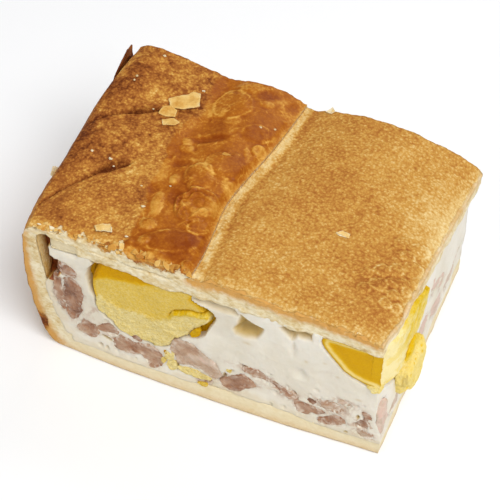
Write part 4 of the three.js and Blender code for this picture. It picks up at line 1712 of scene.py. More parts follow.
@dataclass
class LeftYolk(Yolk):
    """The yolk in the front cut: smooth above, crumbled below, with a crack at its right end."""

    outline: Outline = Outline((
        (-28.6, 40.6), (-29.9, 37.8), (-31, 34.5), (-31.6, 31), (-31.5, 28), (-31, 25.6),
        (-31.3, 23.8), (-30.3, 21.8), (-28.5, 20), (-27, 19), (-25.5, 17), (-24, 15.8), (-22, 15.2),
        (-19, 15.5), (-17, 15.2), (-14, 14.5), (-12, 14.6), (-10, 16), (-9, 18), (-7.8, 20.2),
        (-5.5, 21.7), (-4.4, 22.6), (-3.4, 24.4), (-2, 27), (-0.2, 28.6), (1.4, 30.3), (1.9, 32.5),
        (1.2, 34), (0.3, 34.8), (-0.5, 36.3), (-2.8, 37.7), (-2, 40.5), (-10, 41.5), (-20, 42),
        (-27, 42),
    ))
    zone: Curve = Curve((
        (-32, 26.5), (-29.5, 27.6), (-27, 26), (-24, 25.4), (-21, 26), (-18, 26.1), (-15, 25.2),
        (-13, 25.4), (-11, 26.6), (-9.5, 28.6), (-8, 30.8), (-6, 31.8), (-3.5, 33), (-1, 33.3),
        (2, 34.4),
    ))
    band: Curve = Curve(((-31, 33.6), (-27, 35.4), (-22, 36.2), (-18, 36.9), (-14, 38.2), (-10, 39.6),
        (0, 42)))
    crumbs: tuple[tuple[float, float, float, float, float, float], ...] = (
        (-1.9, 25.3, 2.1, 1.0, 58, 0.3),
        (-2.6, 8.3, 4.9, 1.3, -4, 0.78),
        (-10.0, 12.2, 1.5, 1.9, 0, 0.84),
        (-9.2, 8.9, 1.6, 1.9, 0, 0.82),
        (-11.0, 13.2, 0.5, 0.7, 0, 0.1),
        (0.0, 5.5, 1.5, 0.6, 0, 0.5),
        (-11.6, 9.6, 0.8, 1.0, 0, 0.68),
        (7.4, 14.2, 0.8, 0.7, 0, 0.7),
    )

    def build(self, finish: bpy.types.Material) -> bpy.types.Object:
        """Builds and dresses the yolk and its loose crumbs.

        Args:
            finish: The yolk's material.

        Returns:
            The piece.
        """
        mesh, unit = ball("yolk_left_body", self.detail)
        points = self.skin(unit)
        parts = [(mesh, self._face(points))] + [self._crumb(*row) for row in self.crumbs]
        set_points(mesh, points)
        return show("yolk_left_cut", joined("yolk_left_cut", parts), finish, "yolk", "yolk_left")

    def _face(self, points: Array) -> Values:
        """Cuts the yolk's front.

        Args:
            points: Points of the whole yolk, changed in place.

        Returns:
            The looks of the points.
        """
        x, z = points[:, 0], points[:, 2]
        flat = rows(x, x * 0, z)
        crumb, fine = self.grain(flat, 1.3), self.grain(flat + 21, 0.7, 2)
        zone = self.zone(x)
        lower = ease(0.4, -0.5, z - zone + 0.7 * self.grain(flat, 2.4))
        out = self.outline.outside(x, z) + 0.4 * lower * self.grain(flat + 5, 1.8)
        right = ease(-10.5, -8.0, x)
        crack = bell(z - zone - 0.1, 0.3) * right
        lip = ease(-2.4, -0.5, z - zone + 0.8 * crumb) * ease(0.2, -0.3, z - zone) * right
        face = 0.25 - 0.3 * lower + (0.05 + 0.28 * lower) * crumb + 0.12 * lower * fine
        face = face + 0.25 * self.grain.soft(flat, 5.0) + 1.5 * crack - 0.4 * lip
        face = face + 2.4 * ease(-0.35, 0.7, out)
        front = front_face(x, z) + face
        points[:, 1] = np.maximum(points[:, 1], front)
        # Deeper gold above the band under the lid: partly the yolk's own deep colour, partly painted shade
        # from the lid's overhang.
        deep = ease(-0.8, 1.2, z - self.band(x) + 0.5 * crumb)
        rim = ease(-1.5, -0.2, out) * (1 - lower)
        pale = 0.58 + 0.22 * lower + 0.08 * crumb * lower - 0.44 * deep * (1 - lower)
        # The crack is also painted darker: painted shade in the crevice.
        pale = pale - 0.2 * rim - 0.5 * crack - 0.2 * lip * (1 + 1.5 * fine)
        pale = pale - 0.07 * bell(z - zone, 0.45) * (0.5 + fine) * (1 - right)
        crumbly = np.clip(0.65 + 0.35 * lower - 0.5 * deep, 0, 1)
        pale = blend(pale, 0.5 + 0.35 * fine, 0.85 * lip)
        return self.look(blend(0.12, pale, ease(1.2, 0.3, out)), crumbly, lip)

    def _crumb(self, x: float, z: float, long: float, thick: float, turn: float, tint: float) -> Part:
        """Makes a loose crumb in the front cut.

        Args:
            x: Place along the front.
            z: Height.
            long: Half its length.
            thick: Half its thickness.
            turn: Turn in degrees.
            tint: How pale it is.

        Returns:
            Its mesh and its looks.
        """
        mesh, unit = ball("yolk_crumb", 4)
        uneven = 1 + 0.3 * self.grain(unit * 2 + x * 3, 1.3)
        angle = math.radians(turn)
        p, q = unit[:, 0] * long * uneven, unit[:, 2] * thick * uneven
        a = x + p * math.cos(angle) - q * math.sin(angle)
        b = z + p * math.sin(angle) + q * math.cos(angle)
        flat = rows(a, a * 0, b)
        depth = np.maximum(unit[:, 1] * 2.2, 0.25 * self.grain(flat, 1.2) - 0.15)
        set_points(mesh, rows(a, front_face(a, b) + depth, b))
        return mesh, self.look(tint + 0.08 * self.grain(flat, 1.0), np.ones(len(a)), np.zeros(len(a)))


@dataclass
class RightYolk(Yolk):
    """The yolk at the corner: deep gold in the front cut, pale in the right cut, with a crumbling lip."""

    proud: float = 1.0
    outline: Outline = Outline((
        (33, 41), (32.3, 38.5), (32.6, 37.3), (34, 35), (36.5, 32), (38.5, 29.5), (41, 28),
        (44, 27.2), (47, 26.8), (48.5, 26.2), (50, 26.4), (54, 27), (54, 42),
    ))
    side_outline: Outline = Outline((
        (-40, 44), (-30, 44), (-22, 43), (-16, 40.8), (-11, 38.6), (-6, 36), (-3.2, 33),
        (-1.8, 30.2), (-2.6, 28.4), (-6, 26.5), (-9, 23.5), (-12, 20), (-20, 18), (-28, 22.5),
        (-33, 26), (-40, 26.8),
    ))
    lip: Triple = (50.6, -19.5, 21.0)
    lip_half: Triple = (3.3, 6.6, 6.4)
    smear: Triple = (46.9, -33.9, 26.6)
    smear_half: Triple = (2.2, 2.2, 1.8)

    def build(self, finish: bpy.types.Material) -> bpy.types.Object:
        """Builds and dresses the yolk with its lip and its smear.

        Args:
            finish: The yolk's material.

        Returns:
            The piece.
        """
        mesh, unit = ball("yolk_right_body", self.detail)
        points = self.skin(unit)
        parts = [(mesh, self._body(points)), self._lip(), self._smear()]
        set_points(mesh, points)
        return show("yolk_right_cut", joined("yolk_right_cut", parts), finish, "yolk", "yolk_right")

    def _body(self, points: Array) -> Values:
        """Cuts the yolk at the front and the right.

        Args:
            points: Points of the whole yolk, changed in place.

        Returns:
            The looks of the points.
        """
        x, y, z = points.T.copy()
        beyond = ease(SHAPE.right - 0.1, SHAPE.right + 0.3, x)
        at_cut = x * 0 + SHAPE.right
        crown = SHAPE.lid_top(at_cut) + SHAPE.rise(at_cut) * ease(0, 1, SHAPE.share(y)) - 0.2
        risen = self.z + (crown - self.z) * np.clip((z - self.z) / (39.8 - self.z), 0, 1)
        z = blend(z, np.where(z > self.z, risen, z), beyond)
        points[:, 2] = z
        flat = rows(x * 0.2, y, z)
        crumb = self.grain(flat, 1.4)
        crack = 0.5 * bell(y + 16.5 - 0.45 * (z - 28), 0.5) * ease(22, 25, z) * ease(34, 31, z)
        side = SHAPE.right + self.proud * blend(1, -0.9, ease(39.5, 43.4, z)) + 0.3 * self.grain(flat, 4.0)
        rim = np.hypot((y - self.lip[1]) / self.lip_half[1], (z - self.lip[2]) / self.lip_half[2])
        crack = np.maximum(crack, bell(rim - 1.04, 0.09) * ease(-2, 2, z - self.lip[2]))
        side = side + 0.16 * crumb - 1.6 * crack - 2.7 * ease(11, 0, y - SHAPE.front)
        away = self.side_outline.outside(y, z)
        points[:, 0] = np.minimum(x, side - 2.4 * ease(-0.3, 0.8, away + 0.3 * crumb))
        out = self.outline.outside(points[:, 0], z)
        face = 0.3 + 0.12 * self.grain(points, 3.0) - 0.25 * bell(out + 1.2, 0.6)
        front = SHAPE.front + face + 2.4 * ease(-0.3, 0.7, out)
        points[:, 1] = np.maximum(y, front)
        at_side = ease(2.4, 1.4, side - x)
        ring = 0.5 * bell(out + 1.5, 0.7) + 0.12 * ease(-0.9, -0.2, out)
        shaded = 0.05 * ease(34, 39, z) * ease(42, 36, x)
        in_front = y < front + 0.3
        pale = np.where(in_front, 0.22 + ring - shaded + 0.06 * ease(45, 48, x), 0.3)
        rough = ease(-30, -21, y)
        edge = 0.14 * ease(-28, -17, y) + 0.26 * ease(-3.0, -0.4, away)
        edge = edge + 0.2 * ease(0.1, 0.5, self.grain(flat, 3.4))
        # The crack and the line round the lip are painted darker: painted shade where the lip meets the body.
        broken = blend(1.02, 0.9, rough) + 0.14 * rough * crumb - 0.5 * crack - edge
        pale = np.where(in_front, pale, blend(pale, broken, at_side))
        at_side = np.where(in_front, 0.0, at_side)
        return self.look(pale, blend(0.1, blend(0.4, 0.9, rough), at_side), at_side)

    def _smear(self) -> Part:
        """Makes the smear of yolk down the slice's corner, with its looks."""
        mesh, unit = ball("yolk_smear", 5)
        uneven = 1 + 0.3 * self.grain(unit * 2 + 7, 1.2)
        points = unit * uneven[:, None] * np.array(self.smear_half) + np.array(self.smear)
        set_points(mesh, points)
        even = np.ones(len(unit))
        return mesh, self.look(0.86 + 0.2 * self.grain(points, 1.2), even, even)

    def _lip(self) -> Part:
        """Makes the crumbling lip under the crack, with its looks."""
        mesh, unit = ball("yolk_lip", 6)
        square = np.sign(unit) * np.abs(unit) ** 0.8
        uneven = 1 + 0.13 * self.grain(unit * 4, 1.8) + 0.4 * self.grain.soft(unit * 1.4 + 5, 1.0)
        points = square * uneven[:, None] * np.array(self.lip_half) + np.array(self.lip)
        pits = self.grain.cells(points, 1.7)[0]
        high = points[:, 2] + 1.6 * self.grain(points, 3.0)
        pale = 0.8 - 0.42 * ease(0.34, 0.1, pits) - 0.4 * ease(24.0, 27.0, high)
        points[:, 0] -= 0.4 * ease(0.5, 0.1, pits)
        set_points(mesh, points)
        even = np.ones(len(unit))
        return mesh, self.look(pale, 0.7 * even, even)


@dataclass(frozen=True)
class Hollow:
    """An empty place in the front of the egg white: outline, depth, and how far its inside is tinted, mostly
    as painted shade.
    """

    outline: Outline
    deep: float
    stain: float
    soft: float = 1.0
    rim: float = 0.0


@dataclass
class EggWhite:
    """Set egg white round the yolks and the bacon."""

    along_faces: int = 268
    up_faces: int = 104
    depth_rows: int = 44
    corner_floor: float = 27.0
    corner_side: Curve = Curve(((27, -42.8), (36, -42.8), (38, -43.2), (39.6, -43.4), (42, -42.8),
        (46, -42.2)))
    soak: float = 0.5
    left_opening: Outline = Outline((
        (-28.5, 41.5), (-30.9, 40.6), (-30.7, 39), (-31.9, 37.4), (-32.8, 34), (-32.7, 30),
        (-31.9, 27), (-31.2, 25.4), (-31.5, 23.8), (-30.4, 21.8), (-28.6, 19.9), (-27, 18.8),
        (-25.5, 16.8), (-24, 15.6), (-22, 15), (-14, 14.3), (-12, 14.4), (-10, 15.8), (-7.6, 20),
        (-4, 22.4), (-1.6, 23), (0.4, 25), (1.9, 28.3), (3.3, 31), (3.9, 33), (3.2, 35), (1.5, 36.3),
        (-0.5, 36.9), (-2.9, 38), (-2, 41.5),
    ))
    hollows: tuple[Hollow, ...] = (
        Hollow(Outline(((10.8, 38.4), (13.5, 36.6), (16.9, 35.5), (16.4, 33.3), (15, 30.9), (12, 30.2),
            (9.6, 30.4), (8.9, 32), (10, 34.8))), 3.4, 0.72),
        Hollow(Outline(((21.3, 38.6), (24, 40), (27, 41), (30.1, 41), (30.1, 37.6), (27.5, 37),
            (26, 37.3), (24.8, 35.2), (23.2, 36.4))), 3.2, 0.62),
        Hollow(Outline(((-2.4, 41), (-2.7, 38), (3, 37.3), (9.5, 37.3), (10.6, 37.9),
            (8.5, 41))), 1.6, 0.28),
        Hollow(Outline((
            (-48, 47), (-42.4, 45.6), (-42.9, 42), (-43.5, 39.5), (-43, 37.6), (-42, 36.8),
            (-40, 36.5), (-38.6, 36.2), (-39.8, 35.6), (-40.4, 34), (-41, 32), (-41.8, 30.4),
            (-42.4, 29), (-43.4, 27.8), (-48, 27.6),
        )), 4.6, 1.0, 0.3, 0.5),
        Hollow(Outline(((-32.7, 15), (-31.9, 14.9), (-31.5, 11.6), (-32.1, 11.2))), 2.4, 1.0, 0.4),
        Hollow(Outline(((-31.2, 41), (-30.4, 38.4), (-29.4, 38.6), (-28, 41))), 5.0, 1.0, 0.5),
        Hollow(Outline(((-30.2, 10.9), (-29, 11.5), (-27.8, 10.9), (-27.4, 9.8), (-28.3, 10.1),
            (-29.5, 10.6))), 2.6, 1.0, 0.4),
        Hollow(Outline(((-31.4, 7.2), (-30.6, 7.7), (-29.9, 7.2), (-30, 6.2), (-30.8, 6),
            (-31.4, 6.4))), 1.2, 0.2),
        Hollow(Outline(((-29.4, 7.1), (-28.7, 7.7), (-28, 7.2), (-28.1, 6), (-28.8, 5.8),
            (-29.4, 6.3))), 1.2, 0.2),
        Hollow(Outline(((5.1, 8.6), (5.8, 10.8), (6.2, 12.6), (6.8, 12.4), (6.2, 10.2),
            (5.6, 8.4))), 3.0, 1.0, 0.4),
        Hollow(Outline(((40.2, 5.2), (40.7, 5.8), (41.3, 5.3), (40.8, 4.8))), 2.5, 1.0, 0.4),
        Hollow(Outline(((43.3, 13.2), (43.8, 13.9), (44.4, 13.2), (43.8, 12.5))), 2.0, 1.0, 0.4),
        Hollow(Outline(((-7.6, 7.6), (-7.3, 9.8), (-8.2, 10.6), (-8.6, 8.4))), 2.0, 0.7),
    )
    swells: Spots = (
        (20, 37, 5, 3, 0.9),
        (13, 24.5, 2.2, 4.5, 0.6),
        (17, 32, 2.0, 2.5, 0.5),
        (3.5, 29, 4, 5, -0.4),
        (28, 19.4, 2.2, 1.0, 0.6),
        (27.4, 22.8, 1.6, 1.9, -0.9),
        (40, 23, 6, 4, 0.4),
        (25.2, 32.5, 0.7, 3.0, -0.7),
        (28.5, 35.5, 2.4, 2.4, 0.4),
        (-34, 32, 1.2, 6, 0.4),
        (-38, 38.5, 4, 2, 0.5),
        (43, 24, 3, 2, -0.3),
    )
    tints: Spots = (
        (12.6, 28.2, 1.1, 0.5, 0.35),
        (28.8, 28.7, 0.4, 0.5, 0.35),
        (37.4, 26.8, 0.5, 0.4, 0.3),
        (43.6, 20.3, 1.2, 0.4, 0.4),
        (33.8, 30.4, 0.5, 0.3, 0.3),
        (-36.5, 9.8, 1.8, 0.7, 0.3),
    )
    froths: Spots = (
        (36.0, 27.0, 1.8, 1.2, 0.25),
        (23.5, 13.0, 3.5, 2.4, 0.9),
        (36.0, 13.5, 5.0, 2.6, 0.75),
        (44.5, 10.0, 4.0, 5.0, 0.7),
        (17.0, 12.0, 3.0, 1.5, 0.4),
        (-33.0, 18.0, 1.8, 2.2, 0.5),
        (-28.0, 12.0, 2.4, 1.5, 0.5),
        (8.0, 17.5, 2.5, 1.4, 0.35),
        (-40.0, 13.0, 2.5, 1.5, 0.3),
        (40.0, 17.0, 3.0, 1.8, 0.6),
        (-31.4, 20.4, 1.3, 1.3, 0.8),
    )
    seed: int = 61
    pits: int = 40
    grain: Grain = Grain(71)

    def build(self, finish: bpy.types.Material, bacon: BaconBed, right: RightYolk) -> bpy.types.Object:
        """Builds and dresses the white, with pockets for what lies in it.

        Args:
            finish: The white's material.
            bacon: The bacon in it.
            right: The yolk at the corner.

        Returns:
            The piece.
        """
        mesh, shares = slab("egg_white_set", self.along_faces, self.up_faces, self.depth_rows)
        u, v, w = shares.T
        y = SHAPE.front + SHAPE.depth * (1 - w) ** 1.2
        height = blend(SHAPE.base_thick, 40, v)
        wall = SHAPE.wall_at(height) - self.soak
        inward = y - SHAPE.front
        empty = ease(self.corner_floor - 2, self.corner_floor + 3, height)
        start = blend(wall, np.maximum(wall, self.corner_side(height)), empty * ease(5.6, 3.0, inward))
        x = blend(start, SHAPE.right, u)
        floor = np.maximum(SHAPE.base_top(x), SHAPE.wall_in.points[0][1]) - self.soak
        z = blend(floor, SHAPE.lid_low(x) + self.soak, v)
        points = SHAPE.warp(x, y, z)
        flow = 0.55 * self.grain(points, 8.0) + 0.1 * self.grain(points, 1.8, 2)
        (at_left, at_right), (at_back, at_front) = ends(u), ends(w)
        inset, stain, meat = self._front(x, z, bacon, right)
        behind, behind_meat = self._pockets(x, z, bacon, Face.BACK)
        beside, beside_meat = self._side(y, z, bacon, right)
        points[:, 1] += np.where(at_front, inset + flow, 0.0) - np.where(at_back, flow + behind, 0.0)
        points[:, 1] += np.where(at_left & ~at_front, np.maximum(inset - inward, 0.0), 0.0)
        points[:, 0] += np.where(at_left, flow, 0.0) - np.where(at_right, beside + flow, 0.0)
        drawn = (at_front | ends(v)[1]) & ~at_right
        points[:, 0] -= np.where(drawn, (beside + 0.3) * ease(42, 50, x), 0.0)
        set_points(mesh, points)
        meat = np.select([at_front, at_right, at_back], [meat, beside_meat, behind_meat], 0.0)
        # The white's left side in the void above the corner floor is painted dark brown: painted shade.
        dark = ease(self.corner_floor - 1.8, self.corner_floor, height)
        brown_shade = dark * blend(0.8, 1.0, ease(0.6, 2.4, inward)) * ease(9, 5, inward)
        brown_shade = np.maximum(brown_shade, dark * ease(0.5, 1.5, inset))
        stain = np.where(at_front, stain, np.where(at_left, brown_shade, 0.0))
        set_values(mesh, stain=stain, meat=np.clip(meat, 0, 1))
        return show("egg_white_set", mesh, finish, "egg_white", "egg_white")

    def _pockets(self, a: Array, b: Array, bacon: BaconBed, face: Face) -> tuple[Array, Array]:
        """Works out the pockets round the bacon in a face.

        Args:
            a: First coordinates in the face.
            b: Second coordinates in the face.
            bacon: The bacon.
            face: The cut face.

        Returns:
            Inset, and how much meat tints the white.
        """
        flat = rows(a, a * 0 + 9, b)
        ragged = self.grain(flat, 2.0) + 0.4 * self.grain(flat + 3, 0.9, 2)
        nearest = np.full(len(a), 9.0)
        for chunk in bacon.chunks:
            if chunk.face is face:
                nearest = np.minimum(nearest, chunk.outline.outside(a, b))
        inset = 1.6 * ease(0.5, -0.6, nearest + 0.45 * ragged)
        torn = ease(3.5, 0.0, nearest)
        inset = inset + torn * (0.5 * ragged + 0.25 * self.grain(flat + 9, 0.9, 2))
        return inset, 0.55 * ease(2.2, -0.2, nearest + 0.5 * ragged)

    def _front(self, x: Array, z: Array, bacon: BaconBed, right: RightYolk) -> tuple[Array, Array, Array]:
        """Works out how far the front of the white lies in.

        Args:
            x: Places along the front cut.
            z: Heights.
            bacon: The bacon in it.
            right: The yolk at the corner.

        Returns:
            Inset, how far the white is tinted by stains and painted shade, and how much by meat.
        """
        flat = rows(x, x * 0, z)
        ragged = self.grain(flat, 2.6)
        inset, meat = self._pockets(x, z, bacon, Face.FRONT)
        inset = inset - 1.4 * lumps(x, z, self.swells)
        inset = inset + (0.7 * ease(37.5, 39.5, z) + 1.3 * ease(39.5, 41.2, z)) * ease(-34.4, -35.8, x)
        out = self.left_opening.outside(x, z) + 0.25 * ragged
        inset = np.maximum(inset, 5.0 * ease(0.15, -0.5, out))
        # Round the left yolk's opening the white is tinted gold, dark brown on the yolk's left and right:
        # painted shade in the gap.
        gap_shade = np.maximum(ease(-28, -30, x) * ease(22, 26, z), ease(0, 1.6, x) * ease(28, 31, z))
        stain = blend(0.35, 0.98, gap_shade) * ease(0.3, -0.6, out)
        out = right.outline.outside(x, z) + 0.1 * ragged
        inset = np.maximum(inset, 3.0 * ease(0.1, -0.5, out))
        # Each hollow's inside is tinted olive to dark brown by its value: painted shade.
        for hollow in self.hollows:
            out = hollow.outline.outside(x, z) + 0.3 * ragged
            soft = hollow.soft * min(1.0, hollow.deep / 2.4)
            inset = np.maximum(inset, hollow.deep * ease(0.5 * soft, -1.6 * soft, out))
            past = hollow.rim * ease(1.0, -2.0, z - hollow.outline.span()[1])
            stain = np.maximum(stain, hollow.stain * ease(0.5 * soft, -0.5 * soft, out - past))
        crust = np.minimum(x - SHAPE.wall_at(z), z - SHAPE.base_top(x) + 0.5)
        stain = np.maximum(stain, 0.22 * ease(3.2, 0.3, crust + 1.2 * ragged))
        stain = np.maximum(stain, lumps(x, z, self.tints))
        rng = np.random.default_rng(self.seed)
        for _ in range(self.pits):
            px, pz, size = rng.uniform(-42, 46), rng.uniform(6, 19), rng.uniform(0.7, 1.4)
            inset += 0.6 * ease(1.0, 0.0, np.hypot((x - px) / size, (z - pz) / size))
        return inset, np.clip(stain, 0, 1), meat + lumps(x, z, self.froths)

    def _side(self, y: Array, z: Array, bacon: BaconBed, right: RightYolk) -> tuple[Array, Array]:
        """Works out how far the right side of the white lies in.

        Args:
            y: Places front to back.
            z: Heights.
            bacon: The bacon in it.
            right: The yolk at the corner.

        Returns:
            Inset, and how much meat tints the white.
        """
        inset, meat = self._pockets(y, z, bacon, Face.RIGHT)
        out = right.side_outline.outside(y, z)
        corner = 1.6 * ease(9, 0, y - SHAPE.front) * ease(5, 14, z)
        corner = corner + 2.5 * ease(13, 8, y - SHAPE.front) * ease(37, 40, z)
        return np.maximum(inset, 2.5 * ease(0.3, -0.5, out)) + corner, meat


@dataclass(frozen=True)
class Flake:
    """A loose flake of crust: its middle, its outline round it, how it tilts and how brown it is."""

    place: Triple
    outline: Pairs
    tilt: tuple[float, float] = (0.0, 0.0)
    bake: float = 0.3
    upright: bool = False
    hug: float = 0.0

    def reach(self, angle: Array) -> Array:
        """Gives how far the outline is from the middle in each direction."""
        found = np.full(len(angle), 0.1)
        for (a1, b1), (a2, b2) in zip(self.outline, self.outline[1:] + self.outline[:1]):
            da, db = a2 - a1, b2 - b1
            cross = np.cos(angle) * db - np.sin(angle) * da
            cross = np.where(np.abs(cross) < 1e-9, 1e-9, cross)
            away = (a1 * db - b1 * da) / cross
            share = (a1 * np.sin(angle) - b1 * np.cos(angle)) / cross
            found = np.where((away > 0) & (share >= -EDGE) & (share <= 1 + EDGE), away, found)
        return found


@dataclass
class LooseFlakes:
    """Flakes and crumbs lying on the crust, a scale on its side and the burnt tongue at the back."""

    thick: float = 0.32
    flakes: tuple[Flake, ...] = (
        Flake((-30.2, 21.2, 0.5), ((-4.6, -0.8), (-2.8, -3.4), (0.2, -3.2), (4.9, -0.7), (3.2, 3.7),
            (0.7, 3.8), (0.2, 2.6)), (0.04, 0.1), 0.3),
        Flake((-32.2, 15.8, 0.3), ((-2.7, -1.8), (-0.4, -2.0), (2.0, -1.2), (1.6, 1.4), (-0.6, 2.4),
            (-2.6, 0.9)), (-0.1, 0.05), 0.3),
        Flake((-30.4, 11.9, 0.3), ((-2.6, 0.4), (-1.4, -1.7), (1.9, -0.7), (2.6, 0.9), (0.4, 1.9)),
            (0.1, -0.1), 0.28),
        Flake((-28.8, -30.3, 0.4), ((-2.9, -0.2), (-1.6, -1.7), (0.4, -1.0), (2.7, -0.7), (1.4, 0.6),
            (0.8, 1.4), (-1.4, 0.8)), (0.12, 0.1), 0.14),
        Flake((27.0, -6.5, 0.1), ((-1.9, -0.3), (-0.6, -0.9), (1.8, -0.8), (1.6, 0.5), (-0.4, 0.8)),
            (0.05, 0.1), 0.12),
        Flake((7.5, 36.2, 0.5), ((-1.3, -0.6), (0.4, -0.7), (1.2, 0.1), (0.1, 1.0)), (0.0, 0.5), 0.06),
        Flake((-11.0, 6.0, -0.1), ((-1.1, -0.3), (0.2, -0.5), (1.2, 0.1), (0.3, 0.5), (-0.8, 0.4)),
            (0, 0.1), 0.32, False, 1.0),
        Flake((-54.4, -10.0, 40.5), ((-1.9, -1.5), (1.4, -2.1), (2.4, 0.6), (-0.3, 1.8)),
            (0.0, 0.0), 0.06, True),
    )
    specks: tuple[Triple, ...] = (
        (-42.4, 34.2, 0.55), (-45.8, 23.3, 0.5), (-45.8, 21.6, 0.4), (-44.7, -6.4, 0.5),
        (-41.3, -20, 0.5), (-27, -12.7, 0.45), (-23.2, -19.5, 0.65), (-22.4, -30.8, 0.5),
        (-27.4, 27.8, 0.55), (-20, -9.9, 0.35), (-39, -7, 0.6), (-7, 20.2, 0.5), (-3.6, 22.2, 0.45),
        (-38, -7.4, 0.4), (-37.2, 15.6, 0.4),
    )
    chips: int = 56
    seed: int = 17
    tongue: Triple = (-54.8, 24.6, 33.0)
    tongue_high: float = 16.4
    tongue_wide: float = 25.0
    tongue_thick: float = 1.2
    grain: Grain = Grain(83)

    def build(self, finish: bpy.types.Material, case: PastryCase) -> bpy.types.Object:
        """Builds and dresses the loose bits.

        Args:
            finish: The crust's material.
            case: The case that carries them.

        Returns:
            The piece.
        """
        parts = [self._flake(flake, case) for flake in self.flakes]
        parts += [self._speck(x, y, 0.8 * size, case) for x, y, size in self.specks]
        parts += [self._flake(chip, case, 8) for chip in self._chips() + self._fringe()]
        parts.append(self._tongue())
        return show("pastry_flakes", joined("pastry_flakes", parts), finish, "pastry_case")

    @staticmethod
    def _look(bake: Array) -> Values:
        """Sets how brown points are, with the palest as if cut."""
        bare = bake * 0
        return {"bake": bake, "cut": ease(0.12, 0.02, bake), "wash": bare, "rind": bare, "dough": bare}

    @staticmethod
    def _under(x: float, y: float, case: PastryCase) -> float:
        """Height of the crust under a plan point, on the flap or on the lid."""
        if x > SHAPE.step(y):
            return float(SHAPE.warp(np.array([x]), np.array([y]), SHAPE.lid_top(np.array([x])))[0, 2])
        return float(case.top(np.array([x]), np.array([y]))[0])

    def _chips(self) -> list[Flake]:
        """Scatters small broken chips along the front edge of the top."""
        rng = np.random.default_rng(self.seed)
        found = []
        for number in range(self.chips):
            x = rng.uniform(-47, -26) if number % 4 else rng.uniform(-24, 42)
            y = SHAPE.front + 0.5 + 2.2 * rng.uniform() ** 1.6
            size = rng.uniform(0.25, 0.7)
            corners = self._torn(rng, size, 0.7 * size)
            tilt = (rng.uniform(-0.3, 0.3), rng.uniform(-0.1, 0.5))
            place = (x, y, rng.uniform(-0.9, -0.5))
            found.append(Flake(place, corners, tilt, rng.choice([0.08, 0.16, 0.3, 0.4])))
        return found

    @staticmethod
    def _torn(rng: np.random.Generator, long: float, deep: float) -> Pairs:
        """Makes the outline of a torn flake from its half sizes."""
        count = int(rng.integers(4, 8))
        turns = (np.arange(count) + rng.uniform(0, 0.8, count)) * math.tau / count
        reach = rng.uniform(0.65, 1.3, count)
        return tuple((long * r * math.cos(t), deep * r * math.sin(t)) for r, t in zip(reach, turns))

    def _fringe(self) -> list[Flake]:
        """Hangs torn flakes of skin over the front edge of the glazed strip."""
        rng = np.random.default_rng(self.seed + 4)
        found = []
        for x in np.arange(-26.5, -3.5, 0.95):
            along, inward = x + rng.uniform(-0.9, 0.9), SHAPE.front + rng.uniform(0.1, 1.7)
            place = (along, inward, rng.uniform(-1.0, -0.4))
            corners = self._torn(rng, rng.uniform(0.4, 1.8), rng.uniform(0.4, 1.0))
            tilt = (rng.uniform(-0.3, 0.3), rng.uniform(0.3, 0.8))
            found.append(Flake(place, corners, tilt, rng.choice([0.3, 0.42, 0.5, 0.58, 0.64])))
        return found

    def _flake(self, flake: Flake, case: PastryCase, faces: int = 26) -> Part:
        """Makes one flake.

        Args:
            flake: Its outline and look.
            case: The case that carries it.
            faces: Faces along each side.

        Returns:
            Its mesh and its looks.
        """
        mesh, shares = slab("flake", faces, faces, 2)
        u, v, w = shares.T
        a, b = 2 * u - 1, 2 * v - 1
        out = np.maximum(np.abs(a), np.abs(b))
        angle = np.arctan2(b, a)
        reach = out * flake.reach(angle)
        x, y, high = flake.place
        a, b = reach * np.cos(angle), reach * np.sin(angle)
        ragged = rows(a + x, b + y, a * 0)
        a, b = a + 0.16 * self.grain(ragged, 1.0), b + 0.16 * self.grain(ragged + 9, 1.0)
        lift = flake.tilt[0] * a + flake.tilt[1] * b + 0.3 * self.grain(ragged, 2.4) + self.thick * w
        if flake.upright:
            points = rows(x - 0.6 * a + 0.4 * lift, y + b, high + 0.5 * a + lift)
        else:
            ground = self._under(x, y, case)
            if flake.hug:
                ground = blend(ground, case.top(x + a, y + b), flake.hug)
            points = rows(x + a, y + b, ground + high + lift)
        set_points(mesh, points)
        uneven = 0.14 * self.grain(ragged, 1.6) + 0.12 * self.grain(ragged + 30, 3.5)
        return mesh, self._look(np.clip(flake.bake - 0.12 * ease(0.8, 1.0, out) + uneven, 0, 1))

    def _speck(self, x: float, y: float, size: float, case: PastryCase) -> Part:
        """Makes one pale crumb.

        Args:
            x: Plan place along the front.
            y: Plan place front to back.
            size: Half its width.
            case: The case that carries it.

        Returns:
            Its mesh and its looks.
        """
        mesh, unit = ball("speck", 3)
        uneven = 1 + 0.7 * self.grain(unit * 2 + x, 1.0)
        points = unit * uneven[:, None] * np.array([size, size * 0.75, size * 0.5])
        high = self._under(x, y, case) - 0.8 * float(ease(3.0, 0.2, y - SHAPE.front))
        set_points(mesh, points + np.array([x, y, high + 0.3 * size]))
        return mesh, self._look(np.zeros(len(unit)))

    def _tongue(self) -> Part:
        """Makes the burnt tongue of crust at the back of the wall, with its looks."""
        mesh, shares = slab("tongue", 4, 44, 40)
        u, v, w = shares.T
        x, y, z = self.tongue
        top = self.tongue_high * (0.55 + 0.45 * ease(0.1, 0.95, v))
        ragged = self.grain(rows(v * 25, v * 0, v * 0), 6.0)
        foot = top * 0.95 * (1 - v) ** 0.8 + 2.4 * ragged
        side = self.tongue_thick * (u - 0.5) * (1.2 - 0.8 * w)
        along = y + self.tongue_wide * (v - 0.5)
        points = rows(x + 0.5 * w * w + side, along, z + blend(foot, top, w))
        points[:, 0] += 0.25 * self.grain(points, 3.0) + 0.8 * ease(0.25, 0.0, w)
        points[:, 2] += 0.6 * w * self.grain(points, 2.0)
        set_points(mesh, points)
        level = 0.84 - 0.26 * ease(0.5, 0.0, w) + 0.08 * ease(0.6, 1.0, w)
        return mesh, self._look(np.clip(level + 0.3 * self.grain(points, 2.0), 0, 1))


